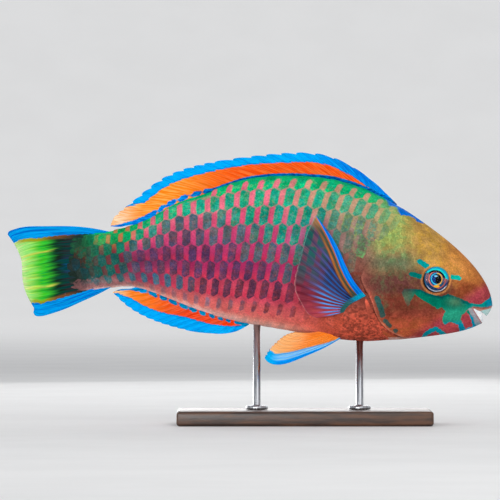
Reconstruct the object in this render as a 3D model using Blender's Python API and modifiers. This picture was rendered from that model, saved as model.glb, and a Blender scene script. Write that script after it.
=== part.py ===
"""A life-size parrotfish on a plain display stand, as separate solids.

Metres, +Z up. The fish looks along +X, its right flank faces -Y, and the origin is
under the middle of the whole object, at the foot of the stand.
"""

import math

import bmesh
import bpy
import numpy as np

# Driving sizes
TOTAL_LENGTH = 0.400
GAP = 0.0003
SNOUT_X = TOTAL_LENGTH / 2
FLESH_END_X = -0.1530
NAPE_X = 0.1235
WIDEST_BELOW_MIDDLE = 0.07
RING_SEGMENTS = 26
SUNK_BASE = 0.004

# Outlines in side view, (x, z), from the tail forwards
BACK_LINE = (
    (FLESH_END_X, 0.1536), (-0.1374, 0.1580), (-0.1135, 0.1602), (-0.1003, 0.1635),
    (-0.0872, 0.1682), (-0.0621, 0.1824), (-0.0394, 0.1902), (-0.0081, 0.2012),
    (0.0338, 0.2056), (0.0653, 0.2030), (0.1030, 0.1912), (0.1424, 0.1672),
    (0.1763, 0.1398), (0.1942, 0.1170), (0.1986, 0.1067), (SNOUT_X, 0.1001),
)
BELLY_LINE = (
    (FLESH_END_X, 0.1050), (-0.1374, 0.1083), (-0.1135, 0.1122), (-0.1000, 0.1132),
    (-0.0732, 0.1055), (-0.0226, 0.0873), (0.0207, 0.0785), (0.0577, 0.0721),
    (0.0906, 0.0680), (0.1263, 0.0700), (0.1602, 0.0741), (0.1844, 0.0799),
    (0.1927, 0.0853), (0.1951, 0.0894), (0.1979, 0.0935), (SNOUT_X, 0.1001),
)
# Half width at each station: 0 is the end of the flesh, 1 the nape and 2 the snout
HALF_WIDTHS = (
    (0.00, 0.0010), (0.06, 0.0040), (0.14, 0.0092), (0.28, 0.0150), (0.41, 0.0212),
    (0.55, 0.0270), (0.68, 0.0305), (0.86, 0.0325), (1.00, 0.0315), (1.25, 0.0286),
    (1.50, 0.0230), (1.70, 0.0164), (1.80, 0.0126), (1.90, 0.0078), (2.00, 0.0),
)
# Section shape: over 1 the back and belly are keeled, under 1 they are blunt
KEELS = ((0.0, 1.0), (0.4, 1.12), (0.9, 1.08), (1.5, 0.95), (2.0, 0.92))

# Cuts between the head, the gill covers and the trunk, from the nape down
GILL_EDGE = (
    (0.1202, 0.1990), (0.1137, 0.1725), (0.1071, 0.1520), (0.0972, 0.1338),
    (0.0906, 0.1199), (0.0927, 0.1141), (0.0980, 0.1042), (0.1011, 0.0956),
    (0.1038, 0.0886), (0.1087, 0.0816), (0.1153, 0.0762), (0.1250, 0.0600),
)
COVER_FRONT = (
    (0.1150, 0.1470), (0.1219, 0.1440), (0.1268, 0.1231), (0.1309, 0.0985),
    (0.1320, 0.0850), (0.1270, 0.0770),
)
COVER_REAR_FIRST, COVER_REAR_LAST = 3, 11
COVER_INSIDE_Y = 0.015
TAIL_CUT_X = -0.1090

# The mouth in side view: the whole opening, then what fills it
MOUTH_OUTLINE = (
    (0.1800, 0.0963), (0.1873, 0.0955), (0.1910, 0.0952), (0.1951, 0.0957),
    (0.2058, 0.0991), (0.2058, 0.0598), (0.1627, 0.0598), (0.1660, 0.0822),
    (0.1727, 0.0921),
)
UPPER_BEAK_OUTLINE = (
    (0.1873, 0.0952), (0.1910, 0.0948), (0.1951, 0.0954), (0.2034, 0.0980),
    (0.2034, 0.0827), (0.1904, 0.0932),
)
LOWER_BEAK_OUTLINE = (
    (0.1832, 0.0957), (0.1901, 0.0931), (0.1926, 0.0828), (0.1921, 0.0840),
)
LOWER_JAW_OUTLINE = (
    (0.1803, 0.0960), (0.1828, 0.0956), (0.1917, 0.0843), (0.1926, 0.0800),
    (0.1926, 0.0614), (0.1631, 0.0614), (0.1663, 0.0820), (0.1729, 0.0918),
)

# The eye, a flattened ball that bulges from its socket
EYE_X, EYE_Z = 0.1533, 0.1185
EYE_RADIUS, EYE_DEPTH_RADIUS = 0.0112, 0.0058
EYE_CENTRE_Y = 0.0244
EYE_TURN_FORWARD = math.radians(13)
EYE_TURN_UP = math.radians(5)

# Fin outlines in side view, each run from the fin's front or top
DORSAL_BASE = (
    (0.1186, 0.1850), (0.1030, 0.1910), (0.0811, 0.1993), (0.0495, 0.2050),
    (0.0128, 0.2045), (-0.0226, 0.1970), (-0.0621, 0.1822), (-0.0880, 0.1672),
)
DORSAL_MARGIN = (
    (0.1186, 0.1854), (0.0968, 0.2046), (0.0840, 0.2129), (0.0706, 0.2195),
    (0.0569, 0.2232), (0.0412, 0.2242), (0.0024, 0.2213), (-0.0394, 0.2147),
    (-0.0732, 0.2023), (-0.1032, 0.1788), (-0.1124, 0.1701), (-0.1150, 0.1633),
)
DORSAL_REAR = ((-0.0880, 0.1672), (-0.0962, 0.1651), (-0.1069, 0.1628), (-0.1150, 0.1633))
ANAL_BASE = (
    (-0.0016, 0.0826), (-0.0226, 0.0875), (-0.0478, 0.0960), (-0.0732, 0.1052),
    (-0.0896, 0.1114),
)
ANAL_MARGIN = (
    (-0.0007, 0.0822), (-0.0100, 0.0771), (-0.0184, 0.0750), (-0.0345, 0.0747),
    (-0.0604, 0.0795), (-0.0855, 0.0882), (-0.1040, 0.0997), (-0.1133, 0.1090),
)
ANAL_REAR = ((-0.0896, 0.1114), (-0.0982, 0.1118), (-0.1066, 0.1114), (-0.1133, 0.1090))
CAUDAL_BASE = (
    (-0.1150, 0.1588), (-0.1300, 0.1540), (-0.1400, 0.1450), (-0.1430, 0.1300),
    (-0.1400, 0.1160), (-0.1300, 0.1122), (-0.1140, 0.1132),
)
CAUDAL_TOP = (
    (-0.1150, 0.1588), (-0.1300, 0.1617), (-0.1443, 0.1632), (-0.1715, 0.1634),
    (-0.1886, 0.1629), (-0.1970, 0.1610), (-TOTAL_LENGTH / 2, 0.1573),
)
CAUDAL_REAR = (
    (-TOTAL_LENGTH / 2, 0.1573), (-0.1960, 0.1515), (-0.1917, 0.1437), (-0.1879, 0.1330),
    (-0.1874, 0.1223), (-0.1857, 0.1124), (-0.1800, 0.1000), (-0.1784, 0.0935),
    (-0.1760, 0.0894),
)
CAUDAL_BOTTOM = (
    (-0.1140, 0.1132), (-0.1238, 0.1079), (-0.1374, 0.1017), (-0.1511, 0.0960),
    (-0.1647, 0.0902), (-0.1760, 0.0894),
)
PECTORAL_BASE = ((0.0950, 0.1062), (0.0866, 0.1016), (0.0800, 0.0970), (0.0770, 0.0925))
PECTORAL_LEAD = ((0.0950, 0.1062), (0.0848, 0.1190), (0.0711, 0.1473), (0.0539, 0.1722))
PECTORAL_MARGIN = (
    (0.0539, 0.1722), (0.0459, 0.1544), (0.0398, 0.1322), (0.0364, 0.1180),
    (0.0377, 0.1085), (0.0425, 0.0993), (0.0485, 0.0908), (0.0555, 0.0878),
)
PECTORAL_TRAIL = ((0.0770, 0.0925), (0.0640, 0.0893), (0.0555, 0.0878))
PELVIC_BASE = ((0.0740, 0.0750), (0.0680, 0.0784), (0.0615, 0.0800))
PELVIC_LEAD = (
    (0.0740, 0.0750), (0.0700, 0.0690), (0.0609, 0.0638), (0.0467, 0.0560),
    (0.0330, 0.0500), (0.0207, 0.0497), (0.0127, 0.0532),
)
PELVIC_MARGIN = (
    (0.0127, 0.0532), (0.0146, 0.0589), (0.0231, 0.0684), (0.0300, 0.0738),
    (0.0379, 0.0762),
)
PELVIC_TRAIL = ((0.0615, 0.0800), (0.0560, 0.0768), (0.0495, 0.0757), (0.0379, 0.0762))

# How far the fin rays lean back, as a share of the fin's margin
DORSAL_SWEEP, DORSAL_SWEEP_START = 0.12, 0.10
ANAL_SWEEP, ANAL_SWEEP_START = 0.20, 0.15
FIN_WAVE = 0.0012
FIN_BASE_THICK, FIN_EDGE_THICK = 0.0022, 0.0008
CAUDAL_BASE_THICK = 0.0032
PECTORAL_LEAD_Y, PECTORAL_TRAIL_Y = 0.0286, 0.0236
PECTORAL_LIFT, PECTORAL_FLARE = 0.0048, 0.0026
PELVIC_BASE_Y, PELVIC_FLARE = 0.0090, 0.0110

# Stand
BASE_LENGTH, BASE_WIDTH, BASE_THICK = 0.210, 0.110, 0.012
BASE_CENTRE_X = 0.045
BASE_BEVEL = 0.0025
ROD_RADIUS, ROD_IN_BODY = 0.003, 0.010
FLANGE_RADIUS, FLANGE_THICK = 0.009, 0.003
ROD_FRONT_X, ROD_REAR_X = 0.0906, 0.0058


def clear_scene():
    """Remove whatever the file opened with."""
    for thing in list(bpy.data.objects):
        bpy.data.objects.remove(thing)


def collection(name):
    """A collection of this name in the scene."""
    made = bpy.data.collections.new(name)
    bpy.context.scene.collection.children.link(made)
    return made


def material(name, colour, roughness, metallic=0.0):
    """A plain finish for one sub-part."""
    made = bpy.data.materials.new(name)
    made.use_nodes = True
    shader = made.node_tree.nodes["Principled BSDF"]
    shader.inputs["Base Color"].default_value = (*colour, 1.0)
    shader.inputs["Roughness"].default_value = roughness
    shader.inputs["Metallic"].default_value = metallic
    made.diffuse_color = (*colour, 1.0)
    return made


def natural_spline(knots, values, at):
    """Natural cubic spline through values at the knots, read at other places."""
    count = len(knots)
    step = np.diff(knots)
    system = np.eye(count)
    right = np.zeros((count, values.shape[1]))
    for i in range(1, count - 1):
        system[i, i - 1: i + 2] = step[i - 1], 2 * (step[i - 1] + step[i]), step[i]
        rise = np.diff(values[i - 1: i + 2], axis=0) / step[i - 1: i + 1, None]
        right[i] = 6 * (rise[1] - rise[0])
    bend = np.linalg.solve(system, right)
    span = np.clip(np.searchsorted(knots, at) - 1, 0, count - 2)
    h = step[span][:, None]
    a = (knots[span + 1] - at)[:, None] / h
    b = 1 - a
    curve = a * values[span] + b * values[span + 1]
    return curve + ((a**3 - a) * bend[span] + (b**3 - b) * bend[span + 1]) * h**2 / 6


class Curve:
    """A smooth line through points, read by its share of the length."""

    def __init__(self, points, samples=400):
        values = np.array(points, float)
        chords = np.linalg.norm(np.diff(values, axis=0), axis=1)
        knots = np.concatenate(([0.0], np.cumsum(chords)))
        self.points = natural_spline(knots, values, np.linspace(0, knots[-1], samples))
        steps = np.linalg.norm(np.diff(self.points, axis=0), axis=1)
        length = np.concatenate(([0.0], np.cumsum(steps)))
        self.shares = length / length[-1]

    def at(self, share):
        """The point at this share of the length."""
        return np.array([np.interp(share, self.shares, line) for line in self.points.T])

    def share_at_x(self, x):
        """The share at which a line that runs forwards passes x."""
        return float(np.interp(x, self.points[:, 0], self.shares))


def smooth_step(value):
    """0 before 0, 1 after 1, and smooth between."""
    value = min(max(value, 0.0), 1.0)
    return value * value * (3 - 2 * value)


BACK, BELLY = Curve(BACK_LINE), Curve(BELLY_LINE)
WIDTH_KNOTS = np.array(HALF_WIDTHS)
KEEL_KNOTS = np.array(KEELS)


def line_at(line, station):
    """Where a section's top or bottom is: upright sections to the nape, then by length."""
    nape = line.share_at_x(NAPE_X)
    if station <= 1:
        return line.at(line.share_at_x(FLESH_END_X + station * (NAPE_X - FLESH_END_X)))
    return line.at(nape + (station - 1) * (1 - nape))


def half_width(station):
    """The body's half width at a station."""
    read = natural_spline(WIDTH_KNOTS[:, 0], WIDTH_KNOTS[:, 1:], np.array([station]))
    return max(float(read[0, 0]), 0.0)


def section(station, grow=0.0, segments=RING_SEGMENTS):
    """One ring of the body, from its top round by the left flank."""
    top, bottom = line_at(BACK, station), line_at(BELLY, station)
    middle, up = (top + bottom) / 2, (top - bottom) / 2
    up = up * (1 + grow / max(np.linalg.norm(up), 1e-6))
    width = half_width(station) + grow
    keel = np.interp(station, KEEL_KNOTS[:, 0], KEEL_KNOTS[:, 1])
    ring = []
    for i in range(segments):
        angle = 2 * math.pi * i / segments
        side = math.sin(angle)
        along = math.cos(angle) - WIDEST_BELOW_MIDDLE * side * side
        across = math.copysign(abs(side) ** keel, side)
        ring.append((middle[0] + up[0] * along, width * across, middle[1] + up[1] * along))
    return ring


def body_stations():
    """Where the body's rings stand, close together at the tail and the snout."""
    stalk = np.linspace(0.0, 0.16, 7)
    trunk = np.linspace(0.16, 1.0, 17)[1:]
    head = 1 + np.array((0.09, 0.18, 0.27, 0.36, 0.45, 0.54, 0.62, 0.70, 0.77, 0.84, 0.90))
    snout = 1 + np.array((0.945, 0.975, 0.992))
    return np.concatenate((stalk, trunk, head, snout))


def finished(shape, name):
    """A mesh from a closed shape, with its faces turned outwards."""
    if shape.calc_volume(signed=True) < 0:
        bmesh.ops.reverse_faces(shape, faces=shape.faces)
    mesh = bpy.data.meshes.new(name)
    shape.to_mesh(mesh)
    shape.free()
    return mesh


def mesh_of(name, rings):
    """A mesh lofted through rings of equal length, its ends capped by strips."""
    shape = bmesh.new()
    count = len(rings[0])
    rows = [[shape.verts.new(point) for point in ring] for ring in rings]
    for near, far in zip(rows, rows[1:]):
        for j in range(count):
            after = (j + 1) % count
            shape.faces.new((near[j], near[after], far[after], far[j]))
    for row in (rows[0][::-1], rows[-1]):
        for j in range(count // 2 - 1):
            shape.faces.new((row[j], row[j + 1], row[count - 2 - j], row[count - 1 - j]))
    return finished(shape, name)


def add(name, mesh, group, finish=None):
    """Put a mesh in the scene as one object."""
    made = bpy.data.objects.new(name, mesh)
    group.objects.link(made)
    if finish:
        mesh.materials.append(finish)
    return made


def cutter(name, mesh):
    """A helper that shapes other objects and isn't part of the fish."""
    made = add(name, mesh, CUTTERS)
    made.hide_render = True
    made.display_type = "WIRE"
    return made


def prism(name, outline, low_y=-0.06, high_y=0.06):
    """A cutter: an outline in side view, extruded across the fish."""
    shape = bmesh.new()
    face = shape.faces.new([shape.verts.new((x, low_y, z)) for x, z in outline])
    grown = bmesh.ops.extrude_face_region(shape, geom=[face])["geom"]
    far = [part for part in grown if isinstance(part, bmesh.types.BMVert)]
    bmesh.ops.translate(shape, verts=far, vec=(0, high_y - low_y, 0))
    return cutter(name, finished(shape, name))


def carve(thing, tool, operation="DIFFERENCE"):
    """Cut or keep part of an object with a cutter."""
    step = thing.modifiers.new(tool.name, "BOOLEAN")
    step.operation = operation
    step.object = tool
    step.solver = "EXACT"


def moved(outline, dx):
    """An outline shifted along the fish."""
    return [(x + dx, z) for x, z in outline]


def grown(outline, by):
    """A closed outline with each corner moved outwards."""
    points = np.array(outline)
    ahead = np.roll(points, -1, axis=0) - points
    ahead /= np.linalg.norm(ahead, axis=1)[:, None]
    normals = np.stack((ahead[:, 1], -ahead[:, 0]), axis=1)
    corners = normals + np.roll(normals, 1, axis=0)
    corners /= (1 + (normals * np.roll(normals, 1, axis=0)).sum(axis=1))[:, None]
    x, z = points.T
    turn = np.sign((x * np.roll(z, -1) - np.roll(x, -1) * z).sum())
    return [tuple(point) for point in points + by * turn * corners]


def smoothed(outline, count):
    """Points evenly along a smooth line through the outline."""
    line = Curve(outline)
    return [tuple(line.at(share)) for share in np.linspace(0, 1, count)]


def patch_of(base, margin, first, last, slide=lambda u: u):
    """A surface in side view that fills four edges; slide leans its rays back."""
    edges = [Curve(edge) for edge in (base, margin, first, last)]
    base_line, margin_line, first_line, last_line = edges

    def place(u, v):
        on_margin = slide(u)
        straight = (1 - v) * base_line.at(u) + v * margin_line.at(on_margin)
        corners = (
            (1 - u) * ((1 - v) * base_line.at(0) + v * margin_line.at(0))
            + u * ((1 - v) * base_line.at(1) + v * margin_line.at(1))
        )
        edge = (1 - u) * first_line.at(v) + u * last_line.at(v)
        return straight + edge - corners

    return place


def swept(amount, start):
    """Rays that lean back by this share of the margin, once past the front."""
    return lambda u: u + amount * (1 - u) * smooth_step(u / start)


def fin(name, place, depth, thick, counts, finish):
    """A thin closed fin: rays run from base to margin, depth is its side offset."""
    rays, steps = counts
    rings = []
    for i in range(rays + 1):
        u = i / rays
        near, far = [], []
        for j in range(steps + 1):
            v = j / steps
            x, z = place(u, v)
            middle, half = depth(u, v), thick(v) / 2
            near.append((x, middle - half, z))
            far.append((x, middle + half, z))
        rings.append(near + far[::-1])
    made = add(name, mesh_of(name, rings), FISH, finish)
    carve(made, ENVELOPE)
    return made


def thinning(base, edge=FIN_EDGE_THICK, power=0.6):
    """Thickness from the fin's base to its margin."""
    return lambda v: base + (edge - base) * v**power


def wave(turns, height=FIN_WAVE):
    """A fin in the middle plane that ripples towards its margin."""
    return lambda u, v: height * v * v * math.sin(2 * math.pi * turns * u)


def make_flesh():
    """The body as one form, parted into stalk, trunk, head, gill covers and jaw."""
    rings = [section(station) for station in body_stations()]
    names = ("tail_stalk", "trunk", "head", "gill_cover_right", "gill_cover_left",
             "lower_jaw", "upper_beak", "lower_beak")
    made = {name: add(name, mesh_of(name, rings), FISH) for name in names}
    low, high = 0.03, 0.25

    stalk = prism("stalk_region", ((-0.2, low), (TAIL_CUT_X - GAP, low),
                                   (TAIL_CUT_X - GAP, high), (-0.2, high)))
    carve(made["tail_stalk"], stalk, "INTERSECT")

    gill = smoothed(GILL_EDGE, 26)
    trunk = [(TAIL_CUT_X, high), (0.121, high), *moved(gill, -GAP), (0.125, low),
             (TAIL_CUT_X, low)]
    carve(made["trunk"], prism("trunk_region", trunk), "INTERSECT")

    head = [(0.24, high), (0.121, high), *gill, (0.1253, low), (0.24, low)]
    carve(made["head"], prism("head_region", head), "INTERSECT")
    head = bpy.data.objects["head_region"]
    rear = moved(GILL_EDGE[COVER_REAR_FIRST - 1: COVER_REAR_LAST], -0.006)
    cover = [*rear, *reversed(smoothed(COVER_FRONT, 8))]
    for side, name in ((-1, "right"), (1, "left")):
        inner, outer = sorted((side * COVER_INSIDE_Y, side * 0.05))
        carve(made[f"gill_cover_{name}"], head, "INTERSECT")
        region = prism(f"cover_region_{name}", cover, inner, outer)
        carve(made[f"gill_cover_{name}"], region, "INTERSECT")
        inner, outer = sorted((side * (COVER_INSIDE_Y - GAP), side * 0.05))
        room = prism(f"cover_room_{name}", grown(cover, GAP), inner, outer)
        carve(made["head"], room)

    carve(made["head"], prism("mouth_room", MOUTH_OUTLINE))
    for name, outline in (("lower_jaw", LOWER_JAW_OUTLINE),
                          ("upper_beak", UPPER_BEAK_OUTLINE),
                          ("lower_beak", LOWER_BEAK_OUTLINE)):
        carve(made[name], prism(name + "_region", outline), "INTERSECT")
    finishes = {
        "tail_stalk": ("teal scales", (0.05, 0.35, 0.30), 0.45),
        "trunk": ("rose and green scales", (0.62, 0.20, 0.30), 0.45),
        "head": ("orange head skin", (0.65, 0.32, 0.12), 0.40),
        "gill_cover_right": ("brick gill skin", (0.50, 0.15, 0.09), 0.40),
        "gill_cover_left": ("brick gill skin", (0.50, 0.15, 0.09), 0.40),
        "lower_jaw": ("jaw skin", (0.10, 0.45, 0.36), 0.40),
        "upper_beak": ("tooth plate", (0.80, 0.84, 0.80), 0.25),
        "lower_beak": ("tooth plate", (0.80, 0.84, 0.80), 0.25),
    }
    for name, (finish, colour, roughness) in finishes.items():
        made[name].data.materials.append(material(finish, colour, roughness))
    return made


def ellipsoid(name, centre, radii, turn):
    """A flattened ball, wide in side view, turned by (forward, up)."""
    shape = bmesh.new()
    bmesh.ops.create_uvsphere(shape, u_segments=20, v_segments=12, radius=1.0)
    side = math.copysign(1, centre[1])
    forward, up = turn
    for vert in shape.verts:
        x, y, z = vert.co.x * radii[0], vert.co.z * radii[1], vert.co.y * radii[0]
        x, y = (x * math.cos(forward) + side * y * math.sin(forward),
                y * math.cos(forward) - side * x * math.sin(forward))
        y, z = (y * math.cos(up) - side * z * math.sin(up),
                z * math.cos(up) + side * y * math.sin(up))
        vert.co = (centre[0] + x, centre[1] + y, centre[2] + z)
    return finished(shape, name)


def make_eyes(head):
    """Both eyes, each in a socket cut in the head."""
    finish = material("eye", (0.06, 0.10, 0.18), 0.08)
    turn = (EYE_TURN_FORWARD, EYE_TURN_UP)
    for side, name in ((-1, "right"), (1, "left")):
        centre = (EYE_X, side * EYE_CENTRE_Y, EYE_Z)
        ball = ellipsoid(f"eye_{name}", centre, (EYE_RADIUS, EYE_DEPTH_RADIUS), turn)
        add(f"eye_{name}", ball, FISH, finish)
        room = (EYE_RADIUS + GAP, EYE_DEPTH_RADIUS + GAP)
        socket = ellipsoid(f"eye_socket_{name}", centre, room, turn)
        carve(head, cutter(f"eye_socket_{name}", socket))


def sunk(base, dz):
    """A fin's base line moved into the body, to be trimmed by it."""
    return [(x, z + dz) for x, z in base]


def make_middle_fins():
    """The dorsal, anal and caudal fins."""
    orange = material("orange fin", (0.95, 0.32, 0.04), 0.45)
    tail = material("green and blue tail", (0.20, 0.62, 0.22), 0.45)
    base = sunk(DORSAL_BASE, -SUNK_BASE)
    place = patch_of(base, DORSAL_MARGIN, (base[0], DORSAL_MARGIN[0]), DORSAL_REAR,
                     swept(DORSAL_SWEEP, DORSAL_SWEEP_START))
    fin("dorsal_fin", place, wave(2.5), thinning(FIN_BASE_THICK), (40, 3), orange)
    base = sunk(ANAL_BASE, SUNK_BASE)
    place = patch_of(base, ANAL_MARGIN, (base[0], ANAL_MARGIN[0]), ANAL_REAR,
                     swept(ANAL_SWEEP, ANAL_SWEEP_START))
    fin("anal_fin", place, wave(1.5), thinning(FIN_BASE_THICK), (26, 4), orange)
    place = patch_of(CAUDAL_BASE, CAUDAL_REAR, CAUDAL_TOP, CAUDAL_BOTTOM)
    fin("caudal_fin", place, wave(1.5), thinning(CAUDAL_BASE_THICK), (24, 8), tail)


def make_paired_fins():
    """The pectoral and pelvic fins of both sides."""
    blue = material("blue rayed fin", (0.10, 0.40, 0.85), 0.40)
    orange = material("pale orange fin", (0.95, 0.55, 0.25), 0.45)
    pectoral = patch_of(PECTORAL_BASE, PECTORAL_MARGIN, PECTORAL_LEAD, PECTORAL_TRAIL)
    pelvic = patch_of(PELVIC_BASE, PELVIC_MARGIN, PELVIC_LEAD, PELVIC_TRAIL)
    for side, name in ((-1, "right"), (1, "left")):
        def off_flank(u, v, side=side):
            root = PECTORAL_LEAD_Y + (PECTORAL_TRAIL_Y - PECTORAL_LEAD_Y) * u * u
            lift = PECTORAL_LIFT * smooth_step(v / 0.2)
            return side * (root + lift + PECTORAL_FLARE * v * (1 - u / 2))

        def off_belly(u, v, side=side):
            return side * (PELVIC_BASE_Y + PELVIC_FLARE * v * (1 - 0.75 * u))

        fin(f"pectoral_fin_{name}", pectoral, off_flank, thinning(0.0026), (14, 9), blue)
        fin(f"pelvic_fin_{name}", pelvic, off_belly, thinning(0.0024), (11, 6), orange)


def belly_height(x):
    """Height of the belly line at x."""
    return float(BELLY.at(BELLY.share_at_x(x))[1])


def make_stand(trunk):
    """A flat base with two short rods, each sunk in a bore in the belly."""
    wood = material("dark wood", (0.10, 0.05, 0.03), 0.45)
    steel = material("brushed steel", (0.55, 0.56, 0.58), 0.30, 1.0)
    shape = bmesh.new()
    bmesh.ops.create_cube(shape, size=1.0)
    bmesh.ops.scale(shape, verts=shape.verts, vec=(BASE_LENGTH, BASE_WIDTH, BASE_THICK))
    base = add("stand_base", finished(shape, "stand_base"), FISH, wood)
    base.location = (BASE_CENTRE_X, 0, BASE_THICK / 2)
    edges = base.modifiers.new("rounded edges", "BEVEL")
    edges.width = BASE_BEVEL
    edges.segments = 2
    for x, name in ((ROD_FRONT_X, "front"), (ROD_REAR_X, "rear")):
        foot, top = BASE_THICK + GAP, belly_height(x) + ROD_IN_BODY
        profile = (
            (0.0, foot), (FLANGE_RADIUS, foot), (FLANGE_RADIUS, foot + FLANGE_THICK),
            (ROD_RADIUS, foot + FLANGE_THICK), (ROD_RADIUS, top), (0.0, top),
        )
        line = bpy.data.meshes.new(f"stand_rod_{name}")
        line.from_pydata([(r, 0, z) for r, z in profile], [],
                         [(i, i + 1) for i in range(len(profile) - 1)])
        rod = add(f"stand_rod_{name}", line, FISH, steel)
        rod.location = (x, 0, 0)
        turn = rod.modifiers.new("turned", "SCREW")
        turn.steps = turn.render_steps = 20
        turn.use_merge_vertices = True
        turn.merge_threshold = 0.00005
        bore = bmesh.new()
        bmesh.ops.create_cone(bore, cap_ends=True, segments=20, depth=0.06,
                              radius1=ROD_RADIUS + GAP, radius2=ROD_RADIUS + GAP)
        bmesh.ops.translate(bore, verts=bore.verts, vec=(x, 0, top + GAP - 0.03))
        carve(trunk, cutter(f"rod_bore_{name}", finished(bore, f"rod_bore_{name}")))


clear_scene()
FISH, CUTTERS = collection("parrotfish"), collection("cutters")
ENVELOPE = cutter("body_envelope", mesh_of("body_envelope", [
    section(station, GAP) for station in body_stations()]))
flesh = make_flesh()
make_eyes(flesh["head"])
make_middle_fins()
make_paired_fins()
make_stand(flesh["trunk"])
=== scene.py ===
import math

import bmesh
import bpy
import numpy as np
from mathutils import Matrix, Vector
from mathutils.kdtree import KDTree


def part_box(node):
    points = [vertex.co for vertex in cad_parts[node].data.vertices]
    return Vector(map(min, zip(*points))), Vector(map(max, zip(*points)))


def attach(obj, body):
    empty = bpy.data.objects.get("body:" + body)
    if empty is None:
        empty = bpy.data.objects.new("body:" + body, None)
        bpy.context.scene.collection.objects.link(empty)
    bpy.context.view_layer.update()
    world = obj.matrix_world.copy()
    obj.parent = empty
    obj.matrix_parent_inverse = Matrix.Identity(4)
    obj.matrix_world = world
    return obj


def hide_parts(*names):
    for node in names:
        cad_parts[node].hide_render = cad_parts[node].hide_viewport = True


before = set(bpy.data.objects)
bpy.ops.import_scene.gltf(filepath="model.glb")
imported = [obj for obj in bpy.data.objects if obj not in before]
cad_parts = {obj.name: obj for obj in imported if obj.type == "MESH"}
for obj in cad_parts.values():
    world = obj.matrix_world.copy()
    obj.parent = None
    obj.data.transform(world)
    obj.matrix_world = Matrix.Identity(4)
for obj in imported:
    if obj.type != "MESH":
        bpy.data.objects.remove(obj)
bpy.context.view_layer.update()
RNG = np.random.default_rng(7)

# The body's outline in side view, as in the solids, (x, z) from the tail forwards
TAIL_X, NAPE_X = -0.1530, 0.1235
BACK_LINE = (
    (TAIL_X, 0.1536), (-0.1374, 0.1580), (-0.1135, 0.1602), (-0.1003, 0.1635),
    (-0.0872, 0.1682), (-0.0621, 0.1824), (-0.0394, 0.1902), (-0.0081, 0.2012),
    (0.0338, 0.2056), (0.0653, 0.2030), (0.1030, 0.1912), (0.1424, 0.1672),
    (0.1763, 0.1398), (0.1942, 0.1170), (0.1986, 0.1067), (0.2000, 0.1001),
)
BELLY_LINE = (
    (TAIL_X, 0.1050), (-0.1374, 0.1083), (-0.1135, 0.1122), (-0.1000, 0.1132),
    (-0.0732, 0.1055), (-0.0226, 0.0873), (0.0207, 0.0785), (0.0577, 0.0721),
    (0.0906, 0.0680), (0.1263, 0.0700), (0.1602, 0.0741), (0.1844, 0.0799),
    (0.1927, 0.0853), (0.1951, 0.0894), (0.1979, 0.0935), (0.2000, 0.1001),
)
# Half widths by station, and how sharp the cross-section is at back and belly: 1 is an ellipse
HALF_WIDTHS = (
    (0.00, 0.0010), (0.06, 0.0040), (0.14, 0.0092), (0.28, 0.0150), (0.41, 0.0212),
    (0.55, 0.0270), (0.68, 0.0305), (0.86, 0.0325), (1.00, 0.0315), (1.25, 0.0286),
    (1.50, 0.0230), (1.70, 0.0164), (1.80, 0.0126), (1.90, 0.0078), (2.00, 0.0),
)
KEELS = ((0.0, 1.0), (0.4, 1.12), (0.9, 1.08), (1.5, 0.95), (2.0, 0.92))
WIDEST_BELOW_MIDDLE = 0.07
SNOUT_TIP = (0.2000, 0.0, 0.1001)
# The skin lies this far under the solids where scales cover it, and this far where none do
COAT, BARE_COAT = 0.0008, 0.00015
CURVE_SAMPLES = 600


def natural_spline(knots, values, at):
    """Natural cubic spline through values at the knots, read at other places."""
    count = len(knots)
    step = np.diff(knots)
    system = np.eye(count)
    right = np.zeros((count, values.shape[1]))
    for i in range(1, count - 1):
        system[i, i - 1: i + 2] = step[i - 1], 2 * (step[i - 1] + step[i]), step[i]
        rise = np.diff(values[i - 1: i + 2], axis=0) / step[i - 1: i + 1, None]
        right[i] = 6 * (rise[1] - rise[0])
    bend = np.linalg.solve(system, right)
    span = np.clip(np.searchsorted(knots, at) - 1, 0, count - 2)
    h = step[span][:, None]
    a = (knots[span + 1] - at)[:, None] / h
    b = 1 - a
    curve = a * values[span] + b * values[span + 1]
    return curve + ((a**3 - a) * bend[span] + (b**3 - b) * bend[span + 1]) * h**2 / 6


class Curve:
    """A smooth line through points, read by its share of the length."""

    def __init__(self, points):
        values = np.array(points, float)
        chords = np.linalg.norm(np.diff(values, axis=0), axis=1)
        knots = np.concatenate(([0.0], np.cumsum(chords)))
        self.points = natural_spline(knots, values, np.linspace(0, knots[-1], CURVE_SAMPLES))
        steps = np.linalg.norm(np.diff(self.points, axis=0), axis=1)
        length = np.concatenate(([0.0], np.cumsum(steps)))
        self.length = length[-1]
        self.shares = length / length[-1]

    def at(self, share):
        lines = [np.interp(share, self.shares, line) for line in self.points.T]
        return np.stack(lines, axis=-1)

    def share_at_x(self, x):
        return np.interp(x, self.points[:, 0], self.shares)


def smooth(value, low=0.0, high=1.0):
    """0 below low, 1 above high, smooth between."""
    t = np.clip((np.asarray(value, float) - low) / (high - low), 0, 1)
    return t * t * (3 - 2 * t)


def bump(value, centre, width):
    return np.exp(-((np.asarray(value, float) - centre) / width) ** 2)


def light(colour):
    """The light of a colour as seen, a tuple of 0 to 255; what is light already stays."""
    if not isinstance(colour, tuple):
        return colour
    share = np.array(colour) / 255
    return np.where(share <= 0.04045, share / 12.92, ((share + 0.055) / 1.055) ** 2.4)


def mix(a, b, *terms):
    """From a over to b.

    The share of b is a product: every three terms are a value and the limits between which the
    share rises smoothly, and a term left over is a share itself.
    """
    share = 1.0
    for i in range(0, len(terms), 3):
        part = terms[i:i + 3]
        share = share * (smooth(*part) if len(part) == 3 else np.asarray(part[0], float))
    return light(a) * (1 - share[..., None]) + light(b) * share[..., None]


# The body as a table: 0 at the end of the flesh, 1 at the nape, 2 at the snout
STATIONS, SHARES = 481, 161
BACK, BELLY = Curve(BACK_LINE), Curve(BELLY_LINE)


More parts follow.
